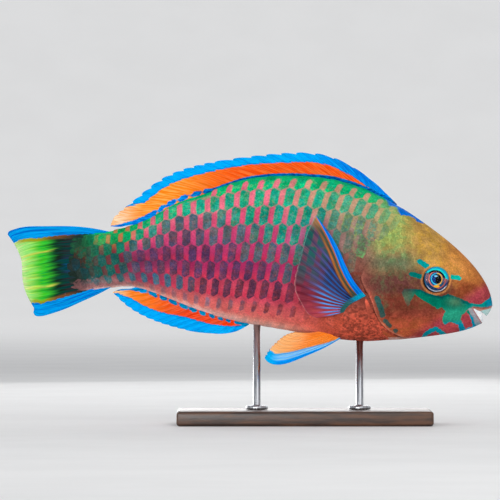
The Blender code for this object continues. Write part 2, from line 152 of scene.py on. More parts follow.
def outline_at(line, station):
    upright = line.share_at_x(TAIL_X + station * (NAPE_X - TAIL_X))
    nape = line.share_at_x(NAPE_X)
    return line.at(np.where(station <= 1, upright, nape + (station - 1) * (1 - nape)))


def body_table():
    """Points and outward normals of the left flank, by station and share of girth."""
    stations = np.linspace(0, 2, STATIONS)
    top, bottom = outline_at(BACK, stations), outline_at(BELLY, stations)
    middle, up = (top + bottom) / 2, (top - bottom) / 2
    knots = np.array(HALF_WIDTHS)
    width = np.maximum(natural_spline(knots[:, 0], knots[:, 1:], stations)[:, 0], 0)
    keel = np.interp(stations, *np.array(KEELS).T)
    angle = np.linspace(0, math.pi, 361)
    along = np.cos(angle) - WIDEST_BELOW_MIDDLE * np.sin(angle) ** 2
    points = np.empty((STATIONS, SHARES, 3))
    for i in range(STATIONS):
        across = width[i] * np.abs(np.sin(angle)) ** keel[i]
        side = middle[i] + along[:, None] * up[i]
        ring = np.stack((side[:, 0], across, side[:, 1]), axis=1)
        steps = np.linalg.norm(np.diff(ring, axis=0), axis=1)
        share = np.concatenate(([0.0], np.cumsum(steps + 1e-9)))
        wanted = np.linspace(0, share[-1], SHARES)
        points[i] = np.stack([np.interp(wanted, share, line) for line in ring.T], axis=1)
    normals = np.cross(np.gradient(points, axis=0), np.gradient(points, axis=1))
    centre = np.stack((middle[:, 0], 0 * width, middle[:, 1]), axis=1)[:, None]
    turn = np.sign((normals * (points - centre)).sum(-1, keepdims=True))
    normals *= np.where(turn == 0, 1, turn)
    normals[:, (0, -1), 1] = 0
    normals /= np.linalg.norm(normals, axis=-1, keepdims=True) + 1e-12
    return points, normals


POINTS, NORMALS = body_table()


def read_table(table, station, share):
    i = np.clip(station, 0, 2) * (STATIONS - 1) / 2
    j = np.clip(share, 0, 1) * (SHARES - 1)
    i0 = np.minimum(i.astype(int), STATIONS - 2)
    j0 = np.minimum(j.astype(int), SHARES - 2)
    a, b = (i - i0)[..., None], (j - j0)[..., None]
    near = table[i0, j0] * (1 - b) + table[i0, j0 + 1] * b
    far = table[i0 + 1, j0] * (1 - b) + table[i0 + 1, j0 + 1] * b
    return near * (1 - a) + far * a


def on_body(station, share, side, lift=0.0):
    """A place on the body at a station and girth share, lifted from the surface."""
    station, share = np.broadcast_arrays(np.asarray(station, float), share)
    point = read_table(POINTS, station, share)
    normal = read_table(NORMALS, station, share)
    point = point + normal * np.asarray(lift)[..., None]
    point[..., 1] *= side
    return point


def station_of_x(x):
    return (np.asarray(x, float) - TAIL_X) / (NAPE_X - TAIL_X)


# Outlines of markings and edges in side view, (x, z)
EYE = np.array((0.1526, 0.1194))
EYE_Y, EYE_TURN, EYE_TILT = 0.0244, math.radians(13), math.radians(5)
EYE_RADIUS, EYE_DEPTH = 0.0112, 0.0058
EYE_RINGS, EYE_AROUND, DOME_RINGS = 60, 96, 40
GILL_EDGE = (
    (0.1071, 0.1520), (0.0972, 0.1338), (0.0906, 0.1199), (0.0927, 0.1141),
    (0.0980, 0.1042), (0.1011, 0.0956), (0.1038, 0.0886), (0.1087, 0.0816),
    (0.1153, 0.0762), (0.1219, 0.0729), (0.1301, 0.0695),
)
GILL_LINE = Curve(GILL_EDGE).points[::12]
PREOPERCLE = ((0.1005, 0.1347), (0.1141, 0.1145), (0.1260, 0.1050), (0.1293, 0.0960), (0.1300, 0.0880))
BEAK_OPENING = (
    (0.1836, 0.0961), (0.1873, 0.0953), (0.1910, 0.0949), (0.1951, 0.0954),
    (0.2060, 0.0984), (0.2060, 0.0700), (0.1932, 0.0824), (0.1920, 0.0836),
)
NOSTRILS = ((0.1742, 0.1300), (0.1712, 0.1322))
UPPER_BEAK = (
    (0.1838, 0.0966), (0.1873, 0.0958), (0.1910, 0.0954), (0.1951, 0.0959),
    (0.2034, 0.0986), (0.2034, 0.0827), (0.1907, 0.0934), (0.1872, 0.0944),
)
LOWER_BEAK = ((0.1826, 0.0964), (0.1870, 0.0940), (0.1902, 0.0929), (0.1932, 0.0822), (0.1918, 0.0826))


# The photo's frame: its middle column, the belly's lowest row and that row's height on the stand
MIDDLE_PX, BELLY_PY, BELLY_Z = 249.9, 342, 0.068
FISH_LENGTH, FISH_PX = 0.400, 486


def side_x(px):
    return (px - MIDDLE_PX) * FISH_LENGTH / FISH_PX


def side_z(py):
    return (BELLY_PY - py) * FISH_LENGTH / FISH_PX + BELLY_Z


def seen(*points):
    """Corners noted on the photo's frame, in metres."""
    return np.array([(side_x(px), side_z(py)) for px, py in points])


FACE_BAND = seen(
    (491.5, 296.0), (486, 300.4), (482.5, 303.1), (477.5, 304.2), (470.2, 302.8), (463, 299.6),
    (457.4, 297.1), (447.2, 293.6), (441, 296), (433, 294.6), (427.4, 292.9), (419.1, 288.8),
    (410, 288.4), (403.8, 288.5), (401.3, 292.3), (403.8, 300.6), (407, 307.6), (411.5, 298.7),
    (414, 293.6), (416.6, 296.1), (425.5, 301.9), (433.2, 306.3), (437, 309.2), (441.4, 307.6),
    (445.3, 310.8), (442.4, 315.9), (441.8, 321.6), (444.6, 324.8), (449.1, 322.3),
    (454.8, 323.5), (458, 325.5), (459.6, 330.6), (459.8, 336), (466.6, 336), (466.3, 329.9),
    (462.5, 323.5), (460.6, 319), (461.2, 315.9), (465, 312.7), (467.6, 308.9), (472, 307),
    (479.7, 307.6), (486, 307.2), (495, 305.8), (495, 295),
)
CHIN_BAND = seen((468.4, 309.6), (470.6, 314.6), (473.4, 318), (474.6, 323), (477.4, 327), (478, 331),
                 (464, 333), (464.5, 329.4), (472.6, 326.8), (471.2, 320), (469.4, 315.8), (465.6, 312))
LOWER_LIP = seen((467.8, 308.6), (472.3, 307.4), (484, 322), (486, 326), (478, 331), (477.4, 327),
                 (474.6, 323), (473.4, 318), (470.6, 314.6))
UNDER_CHIN = seen((421.7, 340.6), (426.4, 333.4), (431, 330.8), (435.7, 328.7), (439.5, 331.2),
                  (444, 334.6), (450, 342))
# Small marks: lines, half widths and colours; those along the gill cover's edge are dark
STREAKS = (
    (seen((419.2, 261.6), (425.6, 266.0)), 0.0022, (0, 152, 150)),
    (seen((410.6, 273.8), (422.6, 277.8)), 0.0020, (0, 112, 104)),
    (seen((450.5, 276.8), (458.6, 278.0)), 0.0019, (10, 176, 158)),
    (UNDER_CHIN, 0.0018, (0, 150, 166)),
)
EDGE_MARKS = (
    (seen((376.4, 298.3), (379.0, 305.0), (382.2, 314.6)), 0.0023),
    (seen((384.6, 320.3), (389.5, 325.4)), 0.0018),
    (seen((395.2, 330.3), (395.6, 330.6)), 0.0018),
)
NAPE_MARKS = seen((366, 188), (376, 194), (384, 197.5), (387.2, 200.6), (389.5, 205.5), (397.3, 207.2),
                  (398.1, 210.3), (401.2, 214.9), (410.3, 215.8), (413.7, 217.4), (416.8, 221.3),
                  (423.6, 223.5), (430, 215), (400, 180))


def to_line(x, z, line):
    """Distance to a polyline, and which side of it: positive on the left of its run."""
    best = np.full(x.shape, np.inf)
    signed = np.zeros(x.shape)
    for (x0, z0), (x1, z1) in zip(line[:-1], line[1:]):
        dx, dz = x1 - x0, z1 - z0
        t = np.clip(((x - x0) * dx + (z - z0) * dz) / (dx * dx + dz * dz), 0, 1)
        distance = np.hypot(x - x0 - t * dx, z - z0 - t * dz)
        cross = dx * (z - z0) - dz * (x - x0)
        closer = distance < best
        best = np.where(closer, distance, best)
        signed = np.where(closer, np.sign(cross), signed)
    return best, signed


def to_area(x, z, corners):
    """Signed distance to a closed outline, negative inside."""
    corners = np.asarray(corners)
    closed = np.vstack((corners, corners[:1]))
    distance, _ = to_line(x, z, closed)
    inside = np.zeros(x.shape, bool)
    for (x0, z0), (x1, z1) in zip(closed[:-1], closed[1:]):
        if z0 != z1:
            crosses = ((z0 > z) != (z1 > z)) & (x < (x1 - x0) * (z - z0) / (z1 - z0) + x0)
            inside ^= crosses
    return np.where(inside, -distance, distance)


# Colours as they look on the fish
EMERALD, JADE, TEAL = (0, 184, 116), (30, 168, 130), (18, 140, 120)
LEAF, DEEP_TEAL, NAVY_TEAL = (0, 158, 88), (0, 92, 86), (0, 58, 72)
SLATE, PLUM, DUSK = (84, 98, 108), (98, 56, 88), (100, 52, 72)
ROSE, PINK, CRIMSON = (224, 110, 130), (210, 78, 114), (186, 60, 106)
WINE, BRICK_ROSE, CORAL = (164, 42, 90), (196, 68, 90), (228, 112, 106)
# The belly's edge is pale in its own colour and brightened further as painted rim light
PALE_BELLY, BELLY_EDGE_AND_RIM_LIGHT = (252, 156, 134), (255, 204, 192)
SAND, MAUVE, BLUE_GREY = (196, 150, 122), (164, 106, 138), (70, 112, 134)
DEEP_RED, BRONZE, DIM_GREEN = (116, 44, 54), (180, 116, 72), (78, 108, 86)
STALK_LINE, SOOT, DARK_GREEN = (54, 72, 64), (34, 30, 38), (0, 92, 66)
SCARLET, LOW_STALK, LOW_ROSE = (210, 52, 80), (56, 108, 112), (160, 108, 108)
CLAY, DIM_WINE, DARK_LEAF = (158, 118, 108), (108, 48, 80), (30, 88, 58)
CHEST, BRICK, MAROON = (222, 96, 72), (124, 58, 45), (98, 56, 52)
TAN, NAPE_GREEN, OLIVE = (186, 144, 78), (162, 174, 92), (110, 112, 84)
GOLD, SIENNA, RUST = (214, 148, 76), (190, 114, 60), (144, 70, 42)
SNOUT_ROSE, JAW, JAW_ROSE = (174, 68, 78), (182, 92, 56), (200, 84, 66)
CHIN_RED, MOSS, NAPE_GOLD = (152, 50, 60), (102, 164, 96), (214, 166, 60)
AMBER, FERN, SEPIA = (218, 152, 64), (84, 110, 78), (112, 74, 48)
MARK_TEAL, MARK_DARK, MARK_BLUE = (0, 118, 94), (0, 88, 84), (0, 138, 166)
MARK_PALE, MARK_OLIVE, MARK_SKY = (40, 152, 122), (74, 122, 92), (0, 176, 218)
LIP_GREY, LIP_BLUE, SNOUT_TEAL = (154, 152, 158), (112, 170, 186), (0, 148, 142)
FIN_BLUE, FIN_SKY, FIN_NAVY = (0, 118, 224), (0, 174, 254), (0, 76, 150)
FIN_ORANGE, FIN_RED, FIN_PEACH = (255, 136, 24), (244, 78, 12), (250, 196, 140)


def layered(first, *layers):
    """Colours laid over the first one, each given with the terms of its share, as in mix."""
    for layer in layers:
        first = mix(first, *layer)
    return first


def stalk_tone(tone, x, a, top, middle, low):
    """Over to the tail stalk's own colours: on its back, its middle and its belly."""
    tail = layered(top, (middle, a, 0.22, 0.42), (low, a, 0.70, 0.84))
    reach = 0.090 - 0.012 * smooth(a, 0.45, 0.10)
    return mix(tone, tail, -x, reach, reach + 0.026)


def patch_tone(x, a):
    """The darker heart of a scale, by place along the body and share of girth."""
    line = np.interp(x, (-0.10, -0.06, -0.03, 0.0, 0.045), (0.33, 0.22, 0.28, 0.42, 0.56))
    tone = layered(
        EMERALD, (JADE, a, 0.06, 0.15), (TEAL, a, 0.20, 0.32),
        (SLATE, a, line - 0.10, line + 0.02), (PLUM, a, line + 0.08, line + 0.18),
        (DUSK, a, 0.62, 0.72), (light(CORAL) * 0.5, a, 0.78, 0.88),
        (BLUE_GREY, a, 0.76, 0.84, -x, -0.02, 0.05),
        (light(BLUE_GREY) * 0.8, a, 0.60, 0.74, -x, 0.035, 0.07),
        (DIM_GREEN, x, 0.058, 0.090, a, 0.20, 0.42),
        (MAROON, x, 0.066, 0.090, a, 0.46, 0.58))
    tone = stalk_tone(tone, x, a, LEAF, DEEP_TEAL, LOW_STALK)
    return mix(tone, head_tone(x, None, a), x, 0.096, 0.128, 0.75)


def bar_tone(x, a):
    """The bright bar on a scale's rear edge."""
    tone = layered(
        ROSE, (PINK, a, 0.18, 0.28), (CRIMSON, a, 0.30, 0.40),
        (WINE, a, 0.42, 0.54), (BRICK_ROSE, a, 0.58, 0.72),
        (CORAL, a, 0.76, 0.87), (PALE_BELLY, a, 0.87, 0.95),
        (SAND, x, 0.010, 0.060, a, 0.40, 0.22),
        (MAUVE, x, 0.015, 0.05, bump(a, 0.40, 0.10) * 0.8),
        (CLAY, x, 0.050, 0.080, a, 0.22, 0.32, 0.9),
        (BRICK, x, 0.060, 0.092, a, 0.34, 0.50, 0.8),
        (DIM_WINE, -x, 0.040, 0.085, a, 0.38, 0.52, a, 0.94, 0.80, 0.75))
    tone = stalk_tone(tone, x, a, BRONZE, DEEP_RED, LOW_ROSE)
    return mix(tone, head_tone(x, None, a), x, 0.092, 0.126, 0.75)


def rim_tone(x, a):
    """What shows between the scales."""
    share = 0.50 - 0.34 * smooth(a, 0.30, 0.52)
    share = share + (0.96 - share) * smooth(-x, 0.088, 0.112)
    tone = layered(mix(bar_tone(x, a), patch_tone(x, a), share), (EMERALD, a, 0.085, 0.045),
                   (LOW_ROSE, a, 0.80, 0.90, -x, 0.05, 0.10),
                   # Pale belly edge, partly its own colour and partly painted rim light
                   (BELLY_EDGE_AND_RIM_LIGHT, a, 0.89, 0.98, -x, -0.09, 0.0))
    tone = mix(tone, STALK_LINE, -x, 0.090, 0.114, a, 0.80, 0.66, a, 0.1, 0.3, 0.8)
    dusk = layered(DARK_LEAF, (SOOT, a, 0.24, 0.42, 0.8), (light(LOW_ROSE) * 0.5, a, 0.76, 0.88))
    tone = mix(tone, dusk, -x, 0.124, 0.142)
    return mix(tone, CHEST, x, 0.02, 0.075, a, 0.66, 0.82)


def above_eye_line(x, z):
    """Height over the line from the nape through the eye to the snout."""
    return z - np.interp(x, (0.10, 0.14, 0.175, 0.19), (0.126, 0.127, 0.1185, 0.1165))


def head_tone(x, z, a):
    """The head's ground colour; without a height it is read along the girth."""
    if z is None:
        z = on_body(station_of_x(x), a, 1.0)[..., 2]
    rise = above_eye_line(x, z)
    edge = np.interp(x, (0.10, 0.13, 0.16, 0.18), (0.0690, 0.0713, 0.0750, 0.0800))
    low = layered(
        MAROON, (BRICK, z, 0.112, 0.104), (JAW, z, 0.092, 0.080),
        (RUST, x, 0.160, 0.172, z, 0.098, 0.106),
        (JAW_ROSE, x, 0.150, 0.158, z, 0.0870, 0.0820),
        (CHIN_RED, x, 0.168, 0.174, z, 0.0960, 0.0920),
        # Pale lower edge of the head, partly its own colour and partly painted rim light
        (light(BELLY_EDGE_AND_RIM_LIGHT) * 0.8, z - edge, 0.0016, 0.0))
    return layered(
        TAN, (NAPE_GREEN, x, 0.140, 0.116, z, 0.140, 0.152),
        (OLIVE, x, 0.146, 0.126, bump(z, 0.133, 0.011)),
        (SIENNA, x, 0.152, 0.176), (GOLD, bump(x, 0.166, 0.013) * bump(z, 0.128, 0.012)),
        (low, rise, 0.0060, -0.0060),
        (SNOUT_ROSE, x + 1.4 * (0.105 - z), 0.170, 0.186, z, 0.124, 0.112))


def mottled_tone(base, x, z):
    """The second tone that clouds the head's ground colour; on the body it is the ground itself."""
    rise = above_eye_line(x, z)
    high = layered(MOSS, (NAPE_GOLD, x, 0.126, 0.142), (AMBER, x, 0.150, 0.166))
    low = layered(FERN, (SEPIA, x, 0.104, 0.122), (light(BRONZE) * 0.8, x, 0.160, 0.170))
    clouds = layered(high, (FERN, x, 0.150, 0.135, bump(rise, 0.002, 0.010)),
                     (low, rise, 0.0, -0.012), (JAW_ROSE, z, 0.098, 0.086))
    return mix(base, clouds, x, 0.094, 0.112, 1 - 0.75 * smooth(x, 0.164, 0.178))


# Materials
# How softly a scale's marks and the iris's rings end
SCALE_SOFT, RING_SOFT = 0.03, 0.02
GUM_SLOPE, GUM_SOFT, GUM_TONE = 0.23, 0.0003, (178, 122, 104)


class Graph:
    """A short way to lay out one material's nodes."""

    def __init__(self, name, **sockets):
        self.material = bpy.data.materials.new(name)
        self.material.use_nodes = True
        self.tree = self.material.node_tree
        self.shader = self.tree.nodes["Principled BSDF"]
        for socket, value in sockets.items():
            self.shader.inputs[socket.replace("_", " ")].default_value = value

    def node(self, kind, inputs=(), **settings):
        made = self.tree.nodes.new("ShaderNode" + kind)
        for name, value in settings.items():
            setattr(made, name, value)
        for key, value in dict(inputs).items():
            if isinstance(value, bpy.types.NodeSocket):
                self.tree.links.new(value, made.inputs[key])
            elif value is not None:
                made.inputs[key].default_value = value
        return made

    def attribute(self, name, output="Fac"):
        return self.node("Attribute", attribute_name=name).outputs[output]

    def colour(self, name):
        return self.attribute(name, "Color")

    def math(self, operation, a, b=None):
        return self.node("Math", {0: a, 1: b}, operation=operation).outputs[0]

    def plus(self, a, b):
        return self.math("ADD", a, b)

    def minus(self, a, b):
        return self.math("SUBTRACT", a, b)

    def times(self, a, b):
        return self.math("MULTIPLY", a, b)

    def size(self, a):
        return self.math("ABSOLUTE", a)

    def step(self, value, low, high, out_low=0.0, out_high=1.0):
        """Smooth step of a value between two limits, which may run down."""
        made = self.node("MapRange", {
            "Value": value, "From Min": low, "From Max": high,
            "To Min": out_low, "To Max": out_high}, interpolation_type="SMOOTHSTEP")
        return made.outputs["Result"]

    def mix(self, share, a, b, blend="MIX"):
        made = self.node("Mix", data_type="RGBA", blend_type=blend)
        for socket, value in ((0, share), (6, a), (7, b)):
            if isinstance(value, bpy.types.NodeSocket):
                self.tree.links.new(value, made.inputs[socket])
            elif socket == 0:
                made.inputs[0].default_value = value
            else:
                made.inputs[socket].default_value = (*light(value), 1.0)
        return made.outputs[2]

    def wobble(self, scale, reach):
        """A small uneven number that roughens a marking's edge."""
        return self.step(self.noise(scale, 3), 0.25, 0.75, -reach, reach)

    def place(self):
        return self.node("TexCoord").outputs["Object"]

    def shifted(self, by):
        return self.node("VectorMath", {0: self.place(), 1: (by, by, by)}).outputs[0]

    def noise(self, scale, detail, rough=0.55, stretch=None, where=None):
        where = where or self.place()
        if stretch:
            where = self.node("Mapping", {"Vector": where, "Scale": stretch}).outputs[0]
        return self.node("TexNoise", {
            "Vector": where, "Scale": scale, "Detail": detail, "Roughness": rough}).outputs["Fac"]

    def joined(self, x, y, z):
        return self.node("CombineXYZ", {"X": x, "Y": y, "Z": z}).outputs[0]

    def link(self, value, socket):
        self.tree.links.new(value, self.shader.inputs[socket])

    def bump(self, height, distance, strength, under=None):
        made = self.node("Bump", {
            "Height": height, "Distance": distance, "Strength": strength, "Normal": under})
        return made.outputs["Normal"]


def speckled(graph, colour, amount):
    """Living skin's uneven pigment in soft clouds and fine grains, with stray light flecks that are partly
    pigment and partly painted glints.
    """
    clouds = graph.step(graph.noise(110, 4), 0.30, 0.70, 1 - amount, 1 + amount * 0.4)
    grains = graph.step(graph.noise(700, 4, 0.7), 0.32, 0.68, 1 - amount, 1 + amount * 0.8)
    # Stray light flecks: partly pigment, partly painted glints
    flecks = graph.step(graph.noise(760, 2, 0.5, where=graph.shifted(3.0)), 0.64, 0.76, 1.0, 1 + 2 * amount)
    shade = graph.times(graph.times(clouds, grains), flecks)
    return graph.mix(1.0, colour, graph.joined(shade, shade, shade), "MULTIPLY")


def skin_material():
    graph = Graph("fish skin", Roughness=0.5, Specular_IOR_Level=0.005)
    clouds = graph.step(graph.noise(190, 4, 0.62, where=graph.shifted(2.0)), 0.40, 0.68, 0.0, 0.60)
    base = speckled(graph, graph.mix(clouds, graph.colour("base"), graph.colour("mottle")), 0.26)
    wobble = graph.wobble(420, 0.45)
    edge = graph.plus(graph.attribute("mark"), wobble)
    inside = graph.step(edge, 0.28, -0.28)
    mark = speckled(graph, graph.colour("mark_tone"), 0.22)
    graph.link(graph.mix(graph.times(inside, graph.attribute("mark_share")), base, mark), "Base Color")
    fine = graph.noise(2200, 2, 0.6)
    pores = graph.node("TexVoronoi", {"Vector": graph.place(), "Scale": 900.0}).outputs["Distance"]
    graph.link(graph.bump(graph.plus(fine, pores), 0.00010, 0.6), "Normal")
    graph.link(graph.step(graph.noise(260, 3), 0.3, 0.7, 0.40, 0.56), "Roughness")
    return graph.material


def scale_material():
    """Each scale: a dark heart, a bright bar on the rear edge and a thin rim."""
    graph = Graph("scales", Roughness=0.46, Specular_IOR_Level=0.02)
    along, across, _ = graph.node("SeparateXYZ", {0: graph.attribute("local", "Vector")}).outputs
    wobble = graph.wobble(620, 0.035)
    along = graph.plus(along, wobble)
    height = graph.plus(graph.size(across), wobble)
    # In the topmost row the bars narrow to a point upwards
    narrow = graph.times(graph.math("MINIMUM", across, 0.0), graph.attribute("apex"))
    # Low on the flank swell is below 0, which makes the hearts smaller and the bars larger
    swell = graph.attribute("swell")
    narrow = graph.minus(narrow, swell)

    def hexagon(centre, half, tall, slant, peak, growth):
        """An upright patch whose ends slope away from the peak, larger by its growth."""
        off = graph.minus(graph.size(graph.minus(along, centre)), growth)
        roof = graph.size(graph.minus(along, peak))
        top = graph.plus(height, graph.times(roof, slant))
        top = graph.minus(top, graph.times(growth, 2.0))
        return graph.times(graph.step(off, half + SCALE_SOFT, half - SCALE_SOFT),
                          graph.step(top, tall + SCALE_SOFT, tall - SCALE_SOFT))

    heart = graph.times(hexagon(0.19, 0.295, 0.60, 0.55, 0.14, swell), graph.attribute("heart"))
    bars = graph.times(hexagon(-0.32, 0.18, 0.48, 0.30, -0.25, narrow), graph.attribute("bars"))
    rim = graph.colour("rim")
    blotch = graph.step(graph.noise(330, 4, 0.65, where=graph.shifted(1.0)), 0.46, 0.72, 0.0, 0.40)
    worn = graph.step(graph.noise(330, 4, 0.65, where=graph.shifted(5.0)), 0.42, 0.58)
    worn = graph.times(worn, graph.attribute("worn"))
    rim = graph.mix(worn, rim, graph.colour("cloud"))
    blotch = graph.math("MINIMUM", graph.plus(blotch, graph.times(worn, 0.40)), 1.0)
    patch = graph.mix(blotch, graph.colour("patch"), rim)
    tint = graph.step(graph.noise(170, 4, 0.62, where=graph.shifted(7.0)), 0.36, 0.64)
    tint = graph.mix(tint, [0.66, 0.95, 1.14], [1.26, 1.06, 0.86])
    patch = graph.mix(1.0, patch, tint, "MULTIPLY")
    colour = graph.mix(bars, speckled(graph, rim, 0.20), speckled(graph, graph.colour("bar"), 0.18))
    colour = graph.mix(heart, colour, speckled(graph, patch, 0.32))
    graph.link(colour, "Base Color")
    rings = graph.math("SINE", graph.times(graph.attribute("rings"), 46.0))
    height = graph.plus(graph.times(rings, 0.22), graph.noise(2400, 2, 0.6))
    creases = graph.noise(640, 4, 0.7)
    graph.link(graph.bump(creases, 0.00035, 0.5, graph.bump(height, 0.00009, 0.6)), "Normal")
    graph.link(graph.step(graph.noise(300, 3), 0.3, 0.7, 0.40, 0.54), "Roughness")
    return graph.material


# Meshes
PLATE_REACH = 0.05
SKIN_VOXEL, BEAK_VOXEL = 0.0007, 0.00035


def linked(name, data):
    """A new object in the scene."""
    made = bpy.data.objects.new(name, data)
    bpy.context.scene.collection.objects.link(made)
    return made


def finished(name, mesh, material, attributes=()):
    """A mesh as a smooth object with its one material and the numbers that this reads."""
    mesh.materials.clear()
    mesh.materials.append(material)
    paint(mesh, attributes)
    mesh.shade_smooth()
    return linked(name, mesh)


def mesh_object(name, points, faces, material, attributes=(), turned=False):
    """A piece from points and faces, with the faces turned outwards where that is asked."""
    mesh = bpy.data.meshes.new(name)
    mesh.from_pydata(np.reshape(points, (-1, 3)).tolist(), [], np.asarray(faces).tolist())
    return finished(name, outward(mesh) if turned else mesh, material, attributes)


def settle(piece, slot, *nodes):
    """Hide the nodes that a piece replaces; everything here rides on the root. The slot is not used."""
    if nodes:
        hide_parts(*nodes)
    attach(piece, "root")
    return piece


def paint(mesh, attributes):
    """Store per-point numbers, colours or places, named for the shaders."""
    for name, values in dict(attributes).items():
        values = np.asarray(values, np.float32)
        kind, field = "FLOAT_COLOR", "color"
        if values.ndim == 1:
            kind, field = "FLOAT", "value"
        elif name == "local":
            kind, field = "FLOAT_VECTOR", "vector"
        else:
            values = np.concatenate((values, np.ones((len(values), 1), np.float32)), axis=1)
        mesh.attributes.new(name, kind, "POINT").data.foreach_set(field, values.ravel())


def read_points(mesh, what="co"):
    """A mesh's points, or their normals."""
    values = np.empty(len(mesh.vertices) * 3)
    mesh.vertices.foreach_get(what, values)
    return values.reshape(-1, 3)


def move_points(mesh, points):
    mesh.vertices.foreach_set("co", points.ravel())
    mesh.update()


def grid_faces(rows, columns, wrap=False):
    i, j = np.meshgrid(np.arange(rows - 1), np.arange(columns - (not wrap)), indexing="ij")
    after = (j + 1) % columns
    quads = np.stack((i * columns + j, i * columns + after,
                      (i + 1) * columns + after, (i + 1) * columns + j), axis=-1)
    return quads.reshape(-1, 4)


def grid_border(rows, columns):
    """The points round a grid's edge, in order."""
    return np.concatenate((
        np.arange(columns), np.arange(1, rows) * columns + columns - 1,
        (rows - 1) * columns + np.arange(columns - 2, -1, -1), np.arange(rows - 2, 0, -1) * columns))


def slab_faces(rows, columns):
    """Faces of two grids of points, one behind the other, and of the wall round them."""
    size = rows * columns
    grid, border = grid_faces(rows, columns), grid_border(rows, columns)
    after = np.roll(border, -1)
    wall = np.stack((border, after, after + size, border + size), axis=1)
    return np.concatenate((grid[:, ::-1], grid + size, wall))


def body_mesh(stations, around):
    """The body between stations as one closed mesh."""
    half = around // 2
    share = np.abs(np.arange(around) - half) / half
    side = np.where(np.arange(around) < half, -1.0, 1.0)
    s, a = np.meshgrid(stations, share, indexing="ij")
    points = on_body(s, a, side[None, :])
    points[:, (0, half), 1] = 0
    flat = points.reshape(-1, 3)
    last = (len(stations) - 1) * around
    faces = grid_faces(len(stations), around, wrap=True).tolist()
    faces += [(last + (j + 1) % around, last + j, len(flat)) for j in range(around)]
    faces.append(tuple(range(around)))
    mesh = bpy.data.meshes.new("body")
    mesh.from_pydata([*flat.tolist(), SNOUT_TIP], [], faces)
    return outward(mesh)


def outward(mesh):
    shape = bmesh.new()
    shape.from_mesh(mesh)
    if shape.calc_volume(signed=True) < 0:
        bmesh.ops.reverse_faces(shape, faces=shape.faces)
    shape.to_mesh(mesh)
    shape.free()
    return mesh


def prism(corners):
    """A plate across the body with an outline seen from the side."""
    shape = bmesh.new()
    face = shape.faces.new([shape.verts.new((x, -PLATE_REACH, z)) for x, z in corners])
    grown = bmesh.ops.extrude_face_region(shape, geom=[face])["geom"]
    far = [part for part in grown if isinstance(part, bmesh.types.BMVert)]
    bmesh.ops.translate(shape, verts=far, vec=(0, 2 * PLATE_REACH, 0))
    mesh = bpy.data.meshes.new("prism")
    shape.to_mesh(mesh)
    shape.free()
    return outward(mesh)


def applied(mesh, *steps):
    """A mesh after modifiers, each given as (type, settings)."""
    things = [linked("work", mesh)]
    for kind, settings in steps:
        step = things[0].modifiers.new(kind.lower(), kind)
        for name, value in settings.items():
            if name == "object":
                value = linked("tool", value)
                things.append(value)
            setattr(step, name, value)
    bpy.context.view_layer.update()
    graph = bpy.context.evaluated_depsgraph_get()
    result = bpy.data.meshes.new_from_object(things[0].evaluated_get(graph))
    for done in things:
        bpy.data.objects.remove(done)
    return result


def carved(mesh, operation, corners, voxel):
    """A mesh cut by a plate and made anew of even small faces."""
    return applied(mesh, ("BOOLEAN", {"operation": operation, "solver": "EXACT", "object": prism(corners)}),
                   ("REMESH", {"mode": "VOXEL", "voxel_size": voxel, "adaptivity": 0.0}))


def relaxed(mesh, chosen, rounds):
    """Smooth the chosen points of a mesh by their neighbours."""
    points = read_points(mesh)
    edges = np.empty(len(mesh.edges) * 2, int)
    mesh.edges.foreach_get("vertices", edges)
    edges = edges.reshape(-1, 2)
    keep = chosen[edges[:, 0]] | chosen[edges[:, 1]]
    edges = edges[keep]
    count = np.bincount(edges.ravel(), minlength=len(points))[:, None]
    for _ in range(rounds):
        total = np.zeros_like(points)
        np.add.at(total, edges[:, 0], points[edges[:, 1]])
        np.add.at(total, edges[:, 1], points[edges[:, 0]])
        average = total / np.maximum(count, 1)
        move = chosen & (count[:, 0] > 0)
        points[move] += (average[move] - points[move]) / 2
    return points


def body_place(points):
    """Station and girth share of points near the body."""
    tree_points = POINTS[::2, ::2].reshape(-1, 3)
    tree = KDTree(len(tree_points))
    for i, point in enumerate(tree_points):
        tree.insert(point, i)
    tree.balance()
    columns = POINTS[::2, ::2].shape[1]
    found = np.array([tree.find((x, abs(y), z))[1] for x, y, z in points])
    i, j = found // columns * 2, found % columns * 2
    # Refine within the cell by projecting on the table's own directions
    here = POINTS[i, j]
    ahead = POINTS[np.minimum(i + 1, STATIONS - 1), j] - POINTS[np.maximum(i - 1, 0), j]
    down = POINTS[i, np.minimum(j + 1, SHARES - 1)] - POINTS[i, np.maximum(j - 1, 0)]
    offset = points * (1, 0, 1) + np.abs(points) * (0, 1, 0) - here
    step_i = (offset * ahead).sum(1) / np.maximum((ahead**2).sum(1), 1e-12) * 2
    step_j = (offset * down).sum(1) / np.maximum((down**2).sum(1), 1e-12) * 2
    station = (i + np.clip(step_i, -1.5, 1.5)) * 2 / (STATIONS - 1)
    share = (j + np.clip(step_j, -1.5, 1.5)) / (SHARES - 1)
    return np.clip(station, 0, 2), np.clip(share, 0, 1)


# Scale lattice: at ROWS_X so many ROWS fit between back and belly, and columns step along each row
ROWS_X = (TAIL_X, -0.1193, -0.0822, 0.0083, 0.1400)
ROWS = (5.4, 6.1, 7.4, 9.4, 9.4)
# The column count's terms: powers of x and of the row, and the factor
COLUMN_FIT = (
    (0, 0, -1.446), (1, 0, 9.224), (2, 0, -0.112), (3, 0, 0.039), (4, 0, 0.045), (0, 1, -1.143),
    (0, 2, 0.250), (1, 1, 1.256), (2, 1, -0.762), (1, 2, -0.313), (3, 1, -0.708), (2, 2, -1.114),
)
LATTICE_X = np.linspace(-0.1560, 0.1400, 1185)
# A scale in its own frame is one column long and one row high
REAR, HALF_HEIGHT, CORNER = -0.50, 0.62, 0.38
# How far its rear stands out, what its slope and its thinned rear edge take off, its thickness and how
# much one scale differs from the next
SCALE_RISE, SCALE_SLOPE, SCALE_BEVEL, SCALE_WALL, SCALE_CHANCE = 0.00078, 0.00066, 0.00020, 0.00030, 0.00008
SCALE_ALONG, SCALE_ACROSS = 13, 17


